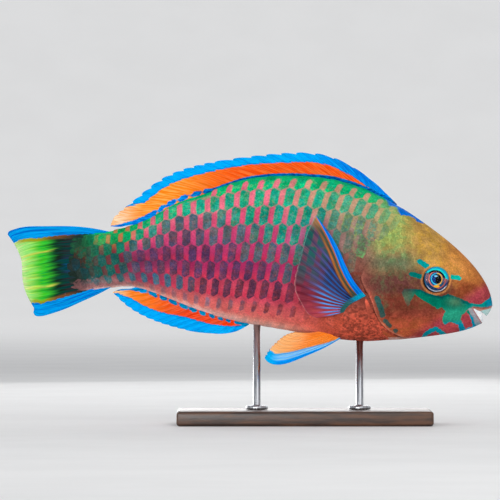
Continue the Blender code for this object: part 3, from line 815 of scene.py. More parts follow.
def column_at(x, row):
    """Scale columns counted forwards, closer together down the flank."""
    x, row = np.clip(x, LATTICE_X[0], LATTICE_X[-1]) / 0.1, np.clip(row, -4, 4) / 4
    return sum(k * x**i * row**j for i, j, k in COLUMN_FIT)


def rows_at(x):
    return np.interp(x, ROWS_X, ROWS)


COVER = (
    (0.070, 0.120), (0.0762, 0.110), (0.0886, 0.099), (0.1042, 0.0935), (0.1141, 0.0885),
    (0.1199, 0.0870), (0.1338, 0.0935), (0.1500, 0.1040), (0.1580, 0.1200), (0.1680, 0.1270),
    (0.1900, 0.1250),
)


def cover_at(z):
    """How far forwards the scales reach at a height."""
    return np.interp(z, *np.array(COVER).T)


def scale_centres():
    """(x, row, column) of every scale on one side, from the tail's base to the gill cover."""
    centres = []
    for row in range(-4, 5):
        line = column_at(LATTICE_X, row)
        for column in range(-17, 15):
            x = float(np.interp(column, line, LATTICE_X))
            a = 0.5 + row / rows_at(x)
            z = on_body(station_of_x(x), np.array(a), 1.0)[..., 2]
            if line[0] < column < line[-1] and 0.03 < a < 0.97 and -0.1462 < x < cover_at(z) - 0.0035:
                centres.append((x, row, column))
    return centres


def on_stalk(x):
    return smooth(-x, 0.106, 0.132)


def scale_strengths(x, a):
    """How clearly a scale's heart and bar show, and how worn it looks, by place on the flank."""
    chest = smooth(x, 0.020, 0.064) * smooth(a, 0.56, 0.72)
    stalk = on_stalk(x)
    worn = smooth(x, 0.050, 0.086) * smooth(a, 0.12, 0.28) + stalk
    heart = ((1 - 0.85 * smooth(a, 0.78, 0.94)) * (1 - chest) * (1 - 0.45 * worn)
             * (1 - 0.45 * smooth(x, 0.100, 0.128)))
    heart = heart + (1 - heart) * 0.6 * stalk * smooth(-x, 0.140, 0.120)
    bars = ((1 - 0.8 * smooth(a, 0.84, 0.96)) * (1 - 0.85 * chest)
            * (1 - 0.5 * smooth(x, 0.10, 0.126)) * (1 - stalk) * (1 - 0.5 * worn))
    return heart, bars, worn


def scale_form():
    """One scale in its own frame: share of its length, places along and across, and height."""
    u, t = np.meshgrid(np.linspace(0, 1, SCALE_ALONG) ** 1.2,
                       np.sin(np.linspace(-1, 1, SCALE_ACROSS) * math.pi / 2) * HALF_HEIGHT, indexing="ij")
    # The rear margin is upright in the middle and slants forwards to the points
    rear = REAR * (1 - np.clip((np.abs(t) - CORNER) / (HALF_HEIGHT - CORNER), 0, 1))
    front = 0.70 + 0.20 * np.sqrt(np.maximum(1 - (t / HALF_HEIGHT) ** 2, 0))
    along = rear + (front - rear) * u
    height = SCALE_RISE - SCALE_SLOPE * smooth(along, REAR, 0.85)
    height = height - SCALE_BEVEL * np.exp(-(along - rear) / 0.05)
    return u, t, along, height


def scale_places(x0, row0, column0, along, t):
    """Where the points of every scale lie, as x and share of girth."""
    lines = {row: column_at(LATTICE_X, row) for row in range(-4, 5)}
    lean = 0.5 + column_at(x0, row0 + 0.5) - column_at(x0, row0 - 0.5)
    column = column0 + along - lean * t
    x = np.stack([np.interp(place, lines[int(row)], LATTICE_X) for place, row in zip(column, row0.ravel())])
    return x, np.clip(0.5 + (row0 + t) / rows_at(x), 0.004, 0.996)


def scale_looks(places, cells, row0, t, chance):
    """Colours and strengths of every scale, for its points (x, z, share) and its cell (x, share)."""
    x, z, a = places
    cell_x, cell_a = cells
    heart, bars, worn = scale_strengths(cell_x, cell_a)
    stalk_cloud = layered(
        DARK_LEAF, (light(STALK_LINE) * 0.8, cell_a, 0.2, 0.4), (light(BRICK) * 0.5, chance, 0.75, 0.8),
        (light(LOW_ROSE) * 0.8, cell_a, 0.74, 0.86))
    cloud = layered(
        MOSS, (CLAY, chance, 0.4, 0.6), (NAPE_GOLD, cell_a, 0.34, 0.20), (BRICK, cell_a, 0.40, 0.55),
        (stalk_cloud, on_stalk(cell_x)), (SOOT, -cell_x, 0.130, 0.146, 0.6))
    dim = layered(NAVY_TEAL, (SOOT, chance, 0.50, 0.55), (DARK_GREEN, chance, 0.75, 0.80))
    patch = mix(patch_tone(cell_x, cell_a), dim, -cell_x, 0.124, 0.142, 0.92)
    # Down the flank each bar turns redder towards its lower end
    bar = mix(bar_tone(x, a), SCARLET, t, -0.1, 0.35, cell_a, 0.40, 0.52, cell_a, 0.90, 0.74,
              np.abs(cell_x + 0.02), 0.085, 0.045, 0.6)
    tilt = (1 + (chance - 0.5) * 0.18)[..., None]
    marked = smooth(to_area(x, z, NAPE_MARKS), 0.0003, -0.0003)
    tones = {"patch": patch * tilt, "bar": bar * (2 - tilt), "rim": rim_tone(x, a), "cloud": cloud}
    return {**{name: mix(tone, FIN_BLUE, marked) for name, tone in tones.items()},
            "heart": heart, "bars": bars, "worn": worn * 0.8, "apex": 0.80 * (row0 == -4),
            "swell": 0.01 * smooth(-cell_x, 0.084, 0.108) - 0.12 * smooth(cell_a, 0.72, 0.84)}


def scale_map(centres, along, t):
    """Each scale's corners on the map, in a cell of its own where it lies on the flank."""
    grid, border = grid_faces(SCALE_ALONG, SCALE_ACROSS), grid_border(SCALE_ALONG, SCALE_ACROSS)
    after = np.roll(border, -1)
    # Its upper side, a frame round that for its edge, and a strip for its underside
    inner = np.stack((0.06 + 0.76 * (along + 0.5) / 1.42, 0.5 + 0.42 * t / HALF_HEIGHT), -1).reshape(-1, 2)
    frame_uv = (inner - (0.44, 0.5)) * 1.08 + (0.44, 0.5)
    strip = inner * (0.10, 1) + (0.90, 0)
    edge = np.stack((inner[border], inner[after], frame_uv[after], frame_uv[border]), axis=1)
    corners = np.concatenate((inner[grid[:, ::-1]], strip[grid], edge))
    columns = centres[:, 2] - centres[:, 2].min()
    start = np.stack((columns, 4 - centres[:, 1]), -1)[:, None, None]
    return (start + corners[None]) / (columns.max() + 1, 9)


def make_scales(side, name, material):
    """Overlapping shields, each tucked under the one ahead of it, over one flank."""
    centres = np.array(scale_centres())
    x0, row0, column0 = (line[:, None, None] for line in centres.T)
    u, t, along, height = scale_form()
    x, a = scale_places(x0, row0, column0, along, t)
    a0 = 0.5 + row0 / rows_at(x0)
    chance = RNG.random(len(centres))[:, None, None]
    relief = (1 - 0.45 * smooth(a0, 0.78, 0.92) - 0.35 * smooth(x0, 0.085, 0.115)
              - 0.3 * smooth(-x0, 0.125, 0.145))
    lift = -COAT + height * relief + (chance - 0.5) * SCALE_CHANCE * (1 - u)
    station = station_of_x(x)
    top = on_body(station, a, side, lift)
    under = on_body(station, a, side, lift - SCALE_WALL * np.minimum(1, 4 * (1 - u) + 0.2))
    cells = [np.broadcast_to(value, x.shape) for value in (x0, a0)]
    looks = scale_looks((x, top[..., 2], a), cells, row0, t, chance)
    looks["local"] = np.stack(np.broadcast_arrays(along, t, chance), -1)
    looks["rings"] = np.hypot(along - 0.25, t * 0.9)

    def both(field):
        """A field on the upper and the under points of every scale."""
        wide = np.shape(field)[3:]
        field = np.broadcast_to(field, (*x.shape, *wide))
        return np.stack((field, field), axis=1).reshape(-1, *wide)

    size = SCALE_ALONG * SCALE_ACROSS
    faces = slab_faces(SCALE_ALONG, SCALE_ACROSS) + (np.arange(len(centres)) * 2 * size)[:, None, None]
    uv = scale_map(centres, along, t)
    if side > 0:
        faces, uv = faces[:, :, ::-1], uv[:, :, ::-1]
    made = mesh_object(name, np.stack((top, under), axis=1), faces.reshape(-1, 4), material,
                       {key: both(field) for key, field in looks.items()})
    layer = made.data.uv_layers.new(name="OFBake")
    layer.data.foreach_set("uv", uv.astype(np.float32).ravel())
    return settle(made, "skin")


# Heights and depths of the head's forms
ORBIT_RIM, SOCKET_DEPTH, BROW, LIP_RISE, NOSTRIL_DEPTH = 0.0007, 0.0045, 0.0006, 0.0006, 0.0009
GILL_RISE, GILL_STEP, CHEEK_FOLD, FAINT_RISE = 0.0010, 0.0013, 0.00035, 0.00016


def from_eye(x, z):
    """Distance from the middle of the eye, seen from the side."""
    return np.hypot(x - EYE[0], z - EYE[1])


def head_relief(x, y, z, a):
    """How far the skin stands out of its plain form."""
    lift = np.zeros(x.shape)
    r = from_eye(x, z)
    # The orbit: a soft rim, then the socket falls away under the eye
    lift += ORBIT_RIM * bump(r, 0.0124, 0.0013) - SOCKET_DEPTH * smooth(r, 0.0107, 0.0092)
    lift += BROW * bump(r, 0.0150, 0.0035) * smooth(z, EYE[1] - 0.004, EYE[1] + 0.008)
    # The gill cover's free edge
    d, where = to_line(x, z, GILL_LINE)
    ahead = np.where(where > 0, d, -d)
    near = (0.25 + 0.75 * smooth(z, 0.128, 0.117)) * smooth(z, 0.154, 0.144) * smooth(np.abs(y), 0.004, 0.012)
    lift += near * np.where(ahead > 0, GILL_RISE * np.exp(-ahead / 0.005) * smooth(ahead, -0.0002, 0.0012),
                            -GILL_STEP * np.exp(ahead / 0.0016))
    d, _ = to_line(x, z, Curve(PREOPERCLE).points[::20])
    lift -= CHEEK_FOLD * bump(d, 0, 0.0012)
    # Lips round the beak
    d = to_area(x, z, BEAK_OPENING)
    lift += LIP_RISE * bump(d, 0.0012, 0.0013) * smooth(x, 0.176, 0.183)
    for spot_x, spot_z in NOSTRILS:
        lift -= NOSTRIL_DEPTH * bump(np.hypot(x - spot_x, z - spot_z), 0, 0.0006)
    return lift + FAINT_RISE * faint_edges(x, a)


def faint_edges(x, a):
    """Scale edges that run on faintly over the nape and the cheek."""
    row = (a - 0.5) * rows_at(x)
    column = column_at(x, row)
    in_row = row - np.round(row)
    in_column = column - np.round(column)
    margin = np.abs(in_column + 0.5 - 0.10 * np.cos(in_row * 2 * math.pi))
    faint = smooth(x, 0.085, 0.105) * smooth(x, 0.148, 0.122) * smooth(a, 0.66, 0.48)
    return faint * (bump(margin, 0.08, 0.08) + 0.7 * bump(np.abs(in_row), 0.5, 0.06))


def mark_fields(x, z):
    """Signed distance in millimetres to the nearest marking, with its colour and strength."""
    mark = np.full(x.shape, 0.05)
    tone = np.tile(light(MARK_TEAL), (len(x), 1))
    share = np.ones(x.shape)

    def lay(distance, colour, strength=1.0):
        nonlocal mark, tone, share
        closer = distance < mark
        tone = np.where(closer[:, None], light(colour), tone)
        share = np.where(closer, strength, share)
        mark = np.minimum(mark, distance)

    inside = to_area(x, z, FACE_BAND)
    low = smooth(x, 0.157, 0.162) * smooth(z, 0.0870, 0.0815)
    band = layered(
        MARK_DARK, (MARK_TEAL, -to_area(x, z + 0.0024, FACE_BAND), -0.001, 0.001),
        (MARK_PALE, z, 0.0985, 0.0920), (MARK_OLIVE, bump(x, 0.1690, 0.006) * bump(z, 0.1010, 0.0035)),
        (SNOUT_TEAL, x, 0.176, 0.186), (MARK_DARK, z, 0.0985, 0.1005, bump(x, 0.177, 0.004)),
        (MARK_BLUE, x, 0.1925, 0.1970), (MARK_BLUE, low), (MARK_SKY, z, 0.0790, 0.0755, low))
    worn = 0.45 * smooth(x, 0.138, 0.128) + 0.25 * smooth(x, 0.136, 0.130) * smooth(z, 0.1040, 0.0985)
    lay(inside, band, 1 - worn)
    chin = layered(MARK_TEAL, (MARK_BLUE, z, 0.0915, 0.0890), (MARK_SKY, z, 0.0815, 0.0785))
    lay(to_area(x, z, CHIN_BAND), chin)
    lay(to_area(x, z, LOWER_LIP), mix(LIP_GREY, LIP_BLUE, z, 0.086, 0.080))
    for line, radius, colour in STREAKS:
        lay(to_line(x, z, line)[0] - radius, colour)
    for line, radius in EDGE_MARKS:
        lay(to_line(x, z, line)[0] - radius, MARK_DARK, 0.85)
    lay(to_area(x, z, NAPE_MARKS), FIN_BLUE)
    return mark * 1000, tone, share


def skin_form():
    """The body with its mouth cut, as even faces, with each point's place on the flank's table."""
    stations = np.concatenate((np.linspace(0, 1, 200), np.linspace(1, 1.985, 150)[1:]))
    mesh = carved(body_mesh(stations, 220), "DIFFERENCE", BEAK_OPENING, SKIN_VOXEL)
    points = read_points(mesh)
    d = to_area(points[:, 0], points[:, 2], BEAK_OPENING)
    mouth = (d < 0.0032) & (points[:, 0] > 0.180)
    points = relaxed(mesh, mouth, 6)
    # Away from the mouth the points go back to the table's exact form
    station, share = body_place(points)
    side = np.where(points[:, 1] < 0, -1.0, 1.0)
    snapped = on_body(station, share, side)
    off = np.linalg.norm(snapped - points, axis=1)
    exact = ((d >= 0.0022) | (points[:, 0] < 0.181)) & (off < 0.0012)
    points = np.where(exact[:, None], snapped, points)
    move_points(mesh, points)
    normal = read_table(NORMALS, station, share)
    normal[:, 1] *= side
    normal = np.where(exact[:, None], normal, read_points(mesh, "normal"))
    x, y, z = points.T
    inner = (d < 0.0030) & (x > 0.1835) & (np.linalg.norm(snapped - points, axis=1) > 0.0008)
    lift = np.where(inner, 0, head_relief(x, y, z, share))
    scaled = smooth(cover_at(z) + 0.006 - x, 0.0, 0.014)
    inset = COAT * scaled + BARE_COAT * (1 - scaled)
    move_points(mesh, points + normal * (lift - inset)[:, None])
    return mesh, points, share


def skin_looks(x, y, z, a):
    """The skin's colours: its ground, the ground's clouds and the face's markings."""
    base = mix(rim_tone(x, a), head_tone(x, z, a), x, 0.090, 0.112)
    base = base * (1 + 0.40 * faint_edges(x, a))[:, None]
    # Along the gill cover's free edge: the pale line on the cover is a painted highlight, the dark line at
    # the edge is painted shade in the crease, and the mask named shade sets where both show
    gill, where = to_line(x, z, GILL_LINE)
    shade = (0.2 + 0.8 * smooth(z, 0.128, 0.117)) * smooth(z, 0.156, 0.146) * smooth(np.abs(y), 0.003, 0.010)
    pale = shade * np.where(where > 0, bump(gill, 0.0011, 0.0008), 0)
    crease_shade = np.where(where > 0, bump(gill, -0.0002, 0.0007), bump(gill, 0.0002, 0.0012))
    r = from_eye(x, z)
    lips = bump(to_area(x, z, BEAK_OPENING), 0.0004, 0.0009) * smooth(x, 0.180, 0.184)
    base = layered(
        # The salmon patch behind the gill cover, over the pectoral's root, is a painted highlight
        base, ((240, 106, 80), bump(x, 0.0955, 0.0052) * bump(z, 0.1022, 0.0062) * 0.9),
        # Painted highlight along the gill cover's edge, and painted shade in the crease at it
        ((244, 148, 120), pale * (0.25 + 0.5 * smooth(z, 0.090, 0.080))), ((46, 10, 14), shade * crease_shade * 0.95),
        # The orange ring round the orbit is the skin's colour; the near-black inside the orbit, under the
        # eyeball, is painted shade in the socket
        ((228, 150, 84), bump(r, 0.0118, 0.0010) * 0.65), ((30, 20, 28), r, 0.0106, 0.0098),
        ((168, 110, 92), lips * 0.8))
    mark, tone, strength = mark_fields(x, z)
    return {"base": base, "mottle": mottled_tone(base, x, z), "mark": np.where(r < 0.0122, 1.0, mark),
            "mark_tone": tone, "mark_share": strength * (1 - lips)}


def make_skin(material):
    """One skin for the head, gill covers, trunk, tail stalk and lower jaw."""
    mesh, points, share = skin_form()
    skin = finished("skin", mesh, material, skin_looks(*points.T, share))
    settle(skin, "skin", "head", "gill_cover_right", "gill_cover_left", "trunk", "tail_stalk", "lower_jaw")


def make_beak(name, corners, material):
    """A fused tooth plate: a slice of the head's own form, a little proud of the lips."""
    mesh = carved(body_mesh(np.linspace(1.6, 1.985, 90), 160), "INTERSECT", corners, BEAK_VOXEL)
    move_points(mesh, relaxed(mesh, np.ones(len(mesh.vertices), bool), 5))
    move_points(mesh, read_points(mesh) + read_points(mesh, "normal") * 0.00030)
    settle(finished(name + "_plate", mesh, material), "beak", name)


def beak_material(name, tone, stain_tone, gum):
    """Enamel, with the gum above a sloping line at the given height."""
    graph = Graph(name, Roughness=0.25, Specular_IOR_Level=0.3)
    x, _, z = graph.node("SeparateXYZ", {0: graph.place()}).outputs
    stain = graph.step(graph.noise(260, 3, stretch=(1, 3, 1)), 0.35, 0.7)
    colour = graph.mix(stain, tone, stain_tone)
    line = graph.minus(z, graph.times(x, GUM_SLOPE))
    colour = graph.mix(graph.step(line, gum - GUM_SOFT, gum + GUM_SOFT), colour, GUM_TONE)
    graph.link(colour, "Base Color")
    teeth = graph.node("TexVoronoi", {"Vector": graph.place(), "Scale": 700.0}).outputs["Distance"]
    graph.link(graph.bump(teeth, 0.0002, 0.35), "Normal")
    return graph.material


# Fins, each a patch between four edges seen from the side
def fin_patch(base, margin, first, last, slide=lambda u: u):
    edges = [Curve(edge) for edge in (base, margin, first, last)]
    base_line, margin_line, first_line, last_line = edges

    def place(u, v):
        u, v = np.broadcast_arrays(u, v)
        us, vs = u[..., None], v[..., None]
        straight = (1 - vs) * base_line.at(u) + vs * margin_line.at(slide(u))
        corners = ((1 - us) * ((1 - vs) * base_line.at(0) + vs * margin_line.at(0))
                   + us * ((1 - vs) * base_line.at(1) + vs * margin_line.at(1)))
        edge = (1 - us) * first_line.at(v) + us * last_line.at(v)
        return straight + edge - corners

    return place


def swept(amount, start):
    return lambda u: u + amount * (1 - u) * smooth(u / start)


# Where in a ray's width its spine stands, and how far the upright fins sway
SPINE, WAVE_HEIGHT = 0.66, 0.0012


def tooth(ray):
    """A margin that climbs to each spine and falls round to a notch behind it."""
    phase = ray % 1.0
    climb = np.sin(math.pi / 2 * np.minimum(phase / SPINE, 1))
    fall = np.sqrt(1 - (np.maximum(phase - SPINE, 0) / (1 - SPINE)) ** 2)
    return np.where(phase < SPINE, climb, fall)


def make_fin(name, node, place, depth, thick, counts, rays, fields, material, teeth, pleat=0.0003,
             quiet=0.2):
    """A closed sheet with raised rays; fields gives the shader's numbers for each point.

    Teeth is the share of the height that the margin's notches take and pleat is how deep the folds
    along the rays are; the first and last quiet rays have neither.
    """
    across, along = counts
    u, v = np.meshgrid(np.linspace(0, 1, across), np.linspace(0, 1, along), indexing="ij")
    ray = rays(u) if callable(rays) else u * rays
    ends = smooth(ray, quiet, quiet + 1.0) * smooth(ray[-1, 0] - quiet - ray, 0.0, 0.8)
    x, z = np.moveaxis(place(u, v * (1 - teeth * ends * v**3 * (1 - tooth(ray)))), -1, 0)
    web = 2 * np.abs((ray - SPINE + 0.5) % 1.0 - 0.5)
    half = thick(v) / 2 * (0.62 + 0.55 * (1 - smooth(web, 0.0, 0.55)))
    folded = pleat * smooth(ray, quiet, quiet + 2.0)
    middle = depth(u, v) + folded * v * np.cos(ray * 2 * math.pi)
    points = [np.stack((x, middle + out * half, z), -1) for out in (-1, 1)]
    numbers = {"v": v, "ray": ray}
    for key, value in fields(u, v, x, z, web).items():
        value = np.asarray(light(value))
        numbers[key] = np.broadcast_to(value, (*u.shape, 3)) if value.shape[-1] == 3 else value
    numbers = {key: np.concatenate((value, value)).reshape(-1, *value.shape[2:])
               for key, value in numbers.items()}
    made = mesh_object(name, points, slab_faces(across, along), material, numbers, turned=True)
    return settle(made, "fin", node)


DORSAL_BASE = (
    (0.1196, 0.1800), (0.1030, 0.1870), (0.0811, 0.1953), (0.0495, 0.2010), (0.0128, 0.2005),
    (-0.0226, 0.1930), (-0.0621, 0.1782), (-0.0880, 0.1632),
)
DORSAL_MARGIN = (
    (0.1215, 0.1812), (0.0968, 0.2044), (0.0840, 0.2129), (0.0706, 0.2195),
    (0.0569, 0.2232), (0.0412, 0.2242), (0.0024, 0.2213), (-0.0394, 0.2147),
    (-0.0732, 0.2023), (-0.1032, 0.1788), (-0.1124, 0.1701), (-0.1150, 0.1633),
)
DORSAL_REAR = ((-0.0880, 0.1632), (-0.0962, 0.1645), (-0.1069, 0.1628), (-0.1150, 0.1633))
ANAL_BASE = (
    (-0.0016, 0.0866), (-0.0226, 0.0915), (-0.0478, 0.1000), (-0.0732, 0.1092), (-0.0896, 0.1154),
)
ANAL_MARGIN = (
    (-0.0007, 0.0822), (-0.0100, 0.0771), (-0.0184, 0.0750), (-0.0345, 0.0747),
    (-0.0604, 0.0795), (-0.0855, 0.0882), (-0.1040, 0.0997), (-0.1133, 0.1090),
)
ANAL_REAR = ((-0.0896, 0.1154), (-0.0982, 0.1120), (-0.1066, 0.1114), (-0.1133, 0.1090))
CAUDAL_BASE = (
    (-0.1150, 0.1588), (-0.1300, 0.1540), (-0.1400, 0.1450), (-0.1430, 0.1300),
    (-0.1400, 0.1160), (-0.1300, 0.1122), (-0.1140, 0.1132),
)
CAUDAL_TOP = (
    (-0.1150, 0.1588), (-0.1300, 0.1617), (-0.1443, 0.1632), (-0.1715, 0.1634),
    (-0.1886, 0.1624), (-0.1962, 0.1602), (-0.1993, 0.1583), (-0.1996, 0.1562),
)
CAUDAL_REAR = (
    (-0.1996, 0.1562), (-0.1960, 0.1512), (-0.1917, 0.1437), (-0.1879, 0.1330),
    (-0.1874, 0.1223), (-0.1857, 0.1124), (-0.1800, 0.1000), (-0.1780, 0.0952),
    (-0.1786, 0.0925),
)
CAUDAL_BOTTOM = (
    (-0.1140, 0.1132), (-0.1238, 0.1079), (-0.1374, 0.1017), (-0.1525, 0.0950),
    (-0.1663, 0.0904), (-0.1736, 0.0890), (-0.1774, 0.0900), (-0.1786, 0.0925),
)
PECTORAL_BASE = ((0.0950, 0.1062), (0.0866, 0.1016), (0.0800, 0.0970), (0.0770, 0.0925))
PECTORAL_LEAD = ((0.0950, 0.1062), (0.0848, 0.1190), (0.0711, 0.1473), (0.0539, 0.1722))
PECTORAL_MARGIN = (
    (0.0539, 0.1722), (0.0459, 0.1544), (0.0398, 0.1322), (0.0364, 0.1180),
    (0.0377, 0.1085), (0.0425, 0.0993), (0.0485, 0.0908), (0.0555, 0.0878),
)
PECTORAL_TRAIL = ((0.0770, 0.0925), (0.0640, 0.0893), (0.0555, 0.0878))
PECTORAL_Y = 0.0296
PELVIC_BASE = ((0.0748, 0.0708), (0.0696, 0.0765), (0.0615, 0.0800))
PELVIC_LEAD = (
    (0.0748, 0.0708), (0.0714, 0.0688), (0.0620, 0.0635), (0.0479, 0.0572), (0.0365, 0.0525),
    (0.0252, 0.0495), (0.0148, 0.0517), (0.0122, 0.0545),
)
PELVIC_MARGIN = ((0.0122, 0.0545), (0.0146, 0.0594), (0.0231, 0.0688), (0.0300, 0.0738), (0.0379, 0.0762))
PELVIC_TRAIL = ((0.0615, 0.0800), (0.0560, 0.0768), (0.0495, 0.0757), (0.0379, 0.0762))


def along_rays(graph, density, drift, shift=0.0):
    """Noise drawn out along the fin's rays."""
    ray, v = graph.attribute("ray"), graph.attribute("v")
    where = graph.joined(graph.times(ray, density), graph.times(v, drift), shift)
    return graph.noise(1.0, 3, 0.6, where=where)


def streaked(graph, tone, other, density, dark):
    """Two tones of a fin in fine lines along the rays, with darker lines between."""
    colour = graph.mix(graph.step(along_rays(graph, density * 0.6, 1.8, 4.0), 0.44, 0.62), tone, other)
    shade = graph.step(along_rays(graph, density, 2.4), 0.30, 0.62, 1 - dark, 1.0)
    return graph.mix(1.0, colour, graph.joined(shade, shade, shade), "MULTIPLY")


def fin_bump(graph, density=8.0, strength=0.6):
    graph.link(graph.bump(along_rays(graph, density, 3.0, 9.0), 0.0003, strength), "Normal")


def banded_material(name, density, jag):
    """Dorsal and anal fins: a spotted base line, an orange band and a blue margin, with painted highlights
    along the spines and painted shade beside them.
    """
    graph = Graph(name, Roughness=0.5, Specular_IOR_Level=0.01)
    offset = graph.math("FRACT", graph.minus(graph.attribute("ray"), SPINE - 0.5))
    offset = graph.minus(offset, 0.5)
    # A painted highlight along each spine, and painted shade in a strip beside it
    line = graph.step(graph.size(offset), 0.10, 0.02)
    behind = graph.times(graph.step(offset, -0.30, -0.04), graph.step(offset, 0.02, -0.04))
    wobble = graph.wobble(420, 0.35)
    orange = streaked(graph, graph.colour("band"), graph.colour("band_light"), density, 0.22)
    # Painted shade beside each spine, then a painted highlight along it
    orange = graph.mix(graph.times(behind, 0.45), orange, graph.colour("band_dark"))
    orange = graph.mix(graph.times(line, 0.50), orange, graph.colour("band_light"))
    blue = streaked(graph, graph.colour("margin"), FIN_SKY, density, 0.30)
    # Painted shade beside each spine in the blue margin as well
    blue = graph.mix(graph.times(behind, 0.40), blue, FIN_BLUE)
    edge = graph.plus(graph.attribute("edge"), graph.times(offset, jag))
    edge = graph.plus(edge, wobble)
    blue = graph.mix(graph.step(graph.size(edge), 1.4, 0.2, 0.0, 0.5), blue, FIN_NAVY)
    colour = graph.mix(graph.step(edge, 0.18, -0.18), orange, blue)
    spots = graph.plus(graph.attribute("spots"), graph.times(wobble, 0.6))
    ropes = graph.step(graph.noise(520, 2, stretch=(0.35, 1, 2.2)), 0.40, 0.62)
    spot = graph.mix(ropes, graph.colour("spot_dark"), graph.colour("spot_tone"))
    graph.link(graph.mix(graph.step(spots, 0.14, -0.14), colour, spot), "Base Color")
    fin_bump(graph)
    return graph.material


def caudal_material():
    graph = Graph("tail fin", Roughness=0.5, Specular_IOR_Level=0.01)
    inner = streaked(graph, graph.colour("tone"), graph.colour("other"), 9.0, 0.34)
    blue = streaked(graph, light(FIN_SKY) * 0.82, graph.colour("margin"), 7.0, 0.26)
    wobble = graph.wobble(420, 0.5)
    edge = graph.plus(graph.attribute("edge"), wobble)
    graph.link(graph.mix(graph.step(edge, 0.25, -0.25), inner, blue), "Base Color")
    fin_bump(graph)
    return graph.material


def rayed_material(name, specular, dark, other="other", bumps=()):
    """A fin painted in its own tones, in streaks along its rays."""
    graph = Graph(name, Roughness=0.5, Specular_IOR_Level=specular)
    graph.link(streaked(graph, graph.colour("tone"), graph.colour(other), 5.0, dark), "Base Color")
    fin_bump(graph, *bumps)
    return graph.material


def wave(turns):
    return lambda u, v: WAVE_HEIGHT * v * v * np.sin(2 * math.pi * turns * u)


def thinning(base, edge=0.0009, power=0.6):
    return lambda v: base + (edge - base) * v**power


def line_distance(x, z, line):
    """Millimetres to a line."""
    return to_line(x, z, line)[0] * 1000


def beads(x, height, centres, half, tall):
    """Ovals in a row, at the given places along x; negative inside."""
    place = np.interp(x, side_x(np.array(centres)), np.arange(len(centres)))
    return np.hypot((place - np.round(place)) / half, height / tall) - 1


DORSAL_RAYS = ((400, 0), (372, 2), (332, 4), (294, 6), (249, 9), (212.5, 11), (181.5, 14), (149, 17),
               (122, 20), (107, 23))
DORSAL_BEADS = (153.4, 160.8, 170.3, 183, 196, 208, 220, 232)


def make_dorsal():
    place = fin_patch(DORSAL_BASE, DORSAL_MARGIN, (DORSAL_BASE[0], DORSAL_MARGIN[0]), DORSAL_REAR,
                      swept(0.20, 0.12))
    margin_line, back = Curve(DORSAL_MARGIN).points[::12], BACK.points[::6]
    spines, order = np.array(DORSAL_RAYS).T

    def rays(u):
        return np.interp(-place(u, 1.0)[..., 0], -side_x(spines), order)

    def fields(u, v, x, z, web):
        height, above = to_line(x, z, back)
        height *= above * 1000
        wide = np.interp(x, (-0.107, -0.101, -0.087, -0.04, 0.0, 0.03, 0.080, 0.104, 0.118),
                         (-1.5, 0.8, 7.4, 8.0, 6.9, 8.2, 7.4, 6.4, 4.0))
        rope = height - np.interp(x, (-0.03, 0.05, 0.07, 0.105), (1.2, 1.5, 2.2, 1.3))
        spots = mix(beads(x, height - 1.2, DORSAL_BEADS, 0.46, 2.2)[..., None], rope[..., None],
                    x, -0.038, -0.026)[..., 0]
        strip = line_distance(x, z, DORSAL_REAR[1:]) - np.interp(x, (-0.112, -0.10, -0.083), (0.2, 1.9, 2.4))
        spots = np.where(x < -0.081, np.minimum(spots, strip), spots)
        band = layered(FIN_RED, (FIN_ORANGE, -x, 0.0, 0.07), (FIN_PEACH, -x, 0.085, 0.112, 0.8))
        return {
            "edge": line_distance(x, z, margin_line) - wide, "spots": spots, "band": band,
            # The band's painted shade beside the spines, and its paler tone, which also paints the highlight
            # along them
            "band_dark": layered((196, 56, 18), (light(FIN_ORANGE) * 0.85, -x, 0.0, 0.07)),
            "band_light": layered((255, 116, 48), ((255, 176, 84), -x, 0.02, 0.07),
                                  ((255, 224, 190), -x, 0.088, 0.110)),
            "margin": layered(FIN_BLUE, (FIN_SKY, -x, -0.09, -0.04)),
            "spot_tone": layered((0, 120, 196), ((0, 150, 236), -x, 0.035, 0.06)),
            "spot_dark": layered(light(FIN_NAVY) * 0.8, ((0, 104, 206), -x, 0.035, 0.06))}

    return make_fin("dorsal_web", "dorsal_fin", place, wave(2.5), thinning(0.0024), (421, 34), rays,
                    fields, banded_material("dorsal fin", 8.0, 0.8), teeth=0.055, pleat=0.0004)


ANAL_BEADS = (143, 153, 162.8, 173, 183.2, 193.2, 202.6, 211.8, 220.5, 228.5, 236)


def make_anal():
    place = fin_patch(ANAL_BASE, ANAL_MARGIN, (ANAL_BASE[0], ANAL_MARGIN[0]), ANAL_REAR, swept(0.34, 0.16))
    margin_line, belly = Curve(ANAL_MARGIN).points[::12], BELLY.points[::6]

    def fields(u, v, x, z, web):
        height, above = to_line(x, z, belly)
        height *= -above * 1000
        wide = np.interp(x, (-0.113, -0.104, -0.0967, -0.0722, -0.0522, -0.0344, -0.0196, -0.0077),
                         (0.3, 5.0, 7.6, 8.8, 10.8, 8.6, 6.6, 3.2))
        small = np.interp(x, (-0.05, -0.01), (1.0, 0.6))
        spots = beads(x, height - 0.6, ANAL_BEADS, 0.45 * small, 2.1 * small)
        strip = line_distance(x, z, ANAL_REAR[1:]) - np.interp(x, (-0.100, -0.094, -0.085), (-0.6, 1.6, 2.2))
        spots = np.where(x < -0.080, np.minimum(spots, strip), spots)
        band = layered((240, 58, 12), (FIN_ORANGE, -x, 0.050, 0.108), (FIN_PEACH, -x, 0.096, 0.110))
        return {
            "edge": line_distance(x, z, margin_line) - wide, "spots": spots, "band": band,
            # The band's painted shade beside the spines, and its paler tone, which also paints the highlight
            # along them
            "band_dark": band * 0.55, "band_light": mix(band, FIN_PEACH, 0.15 + 0 * x),
            "margin": FIN_SKY,
            "spot_tone": layered((0, 146, 190), (light(FIN_SKY) * 0.8, -x, 0.075, 0.09)),
            "spot_dark": (0, 104, 160)}

    return make_fin("anal_web", "anal_fin", place, wave(1.5), thinning(0.0024), (281, 32), 12,
                    fields, banded_material("anal fin", 8.0, 0.35), teeth=0.03)


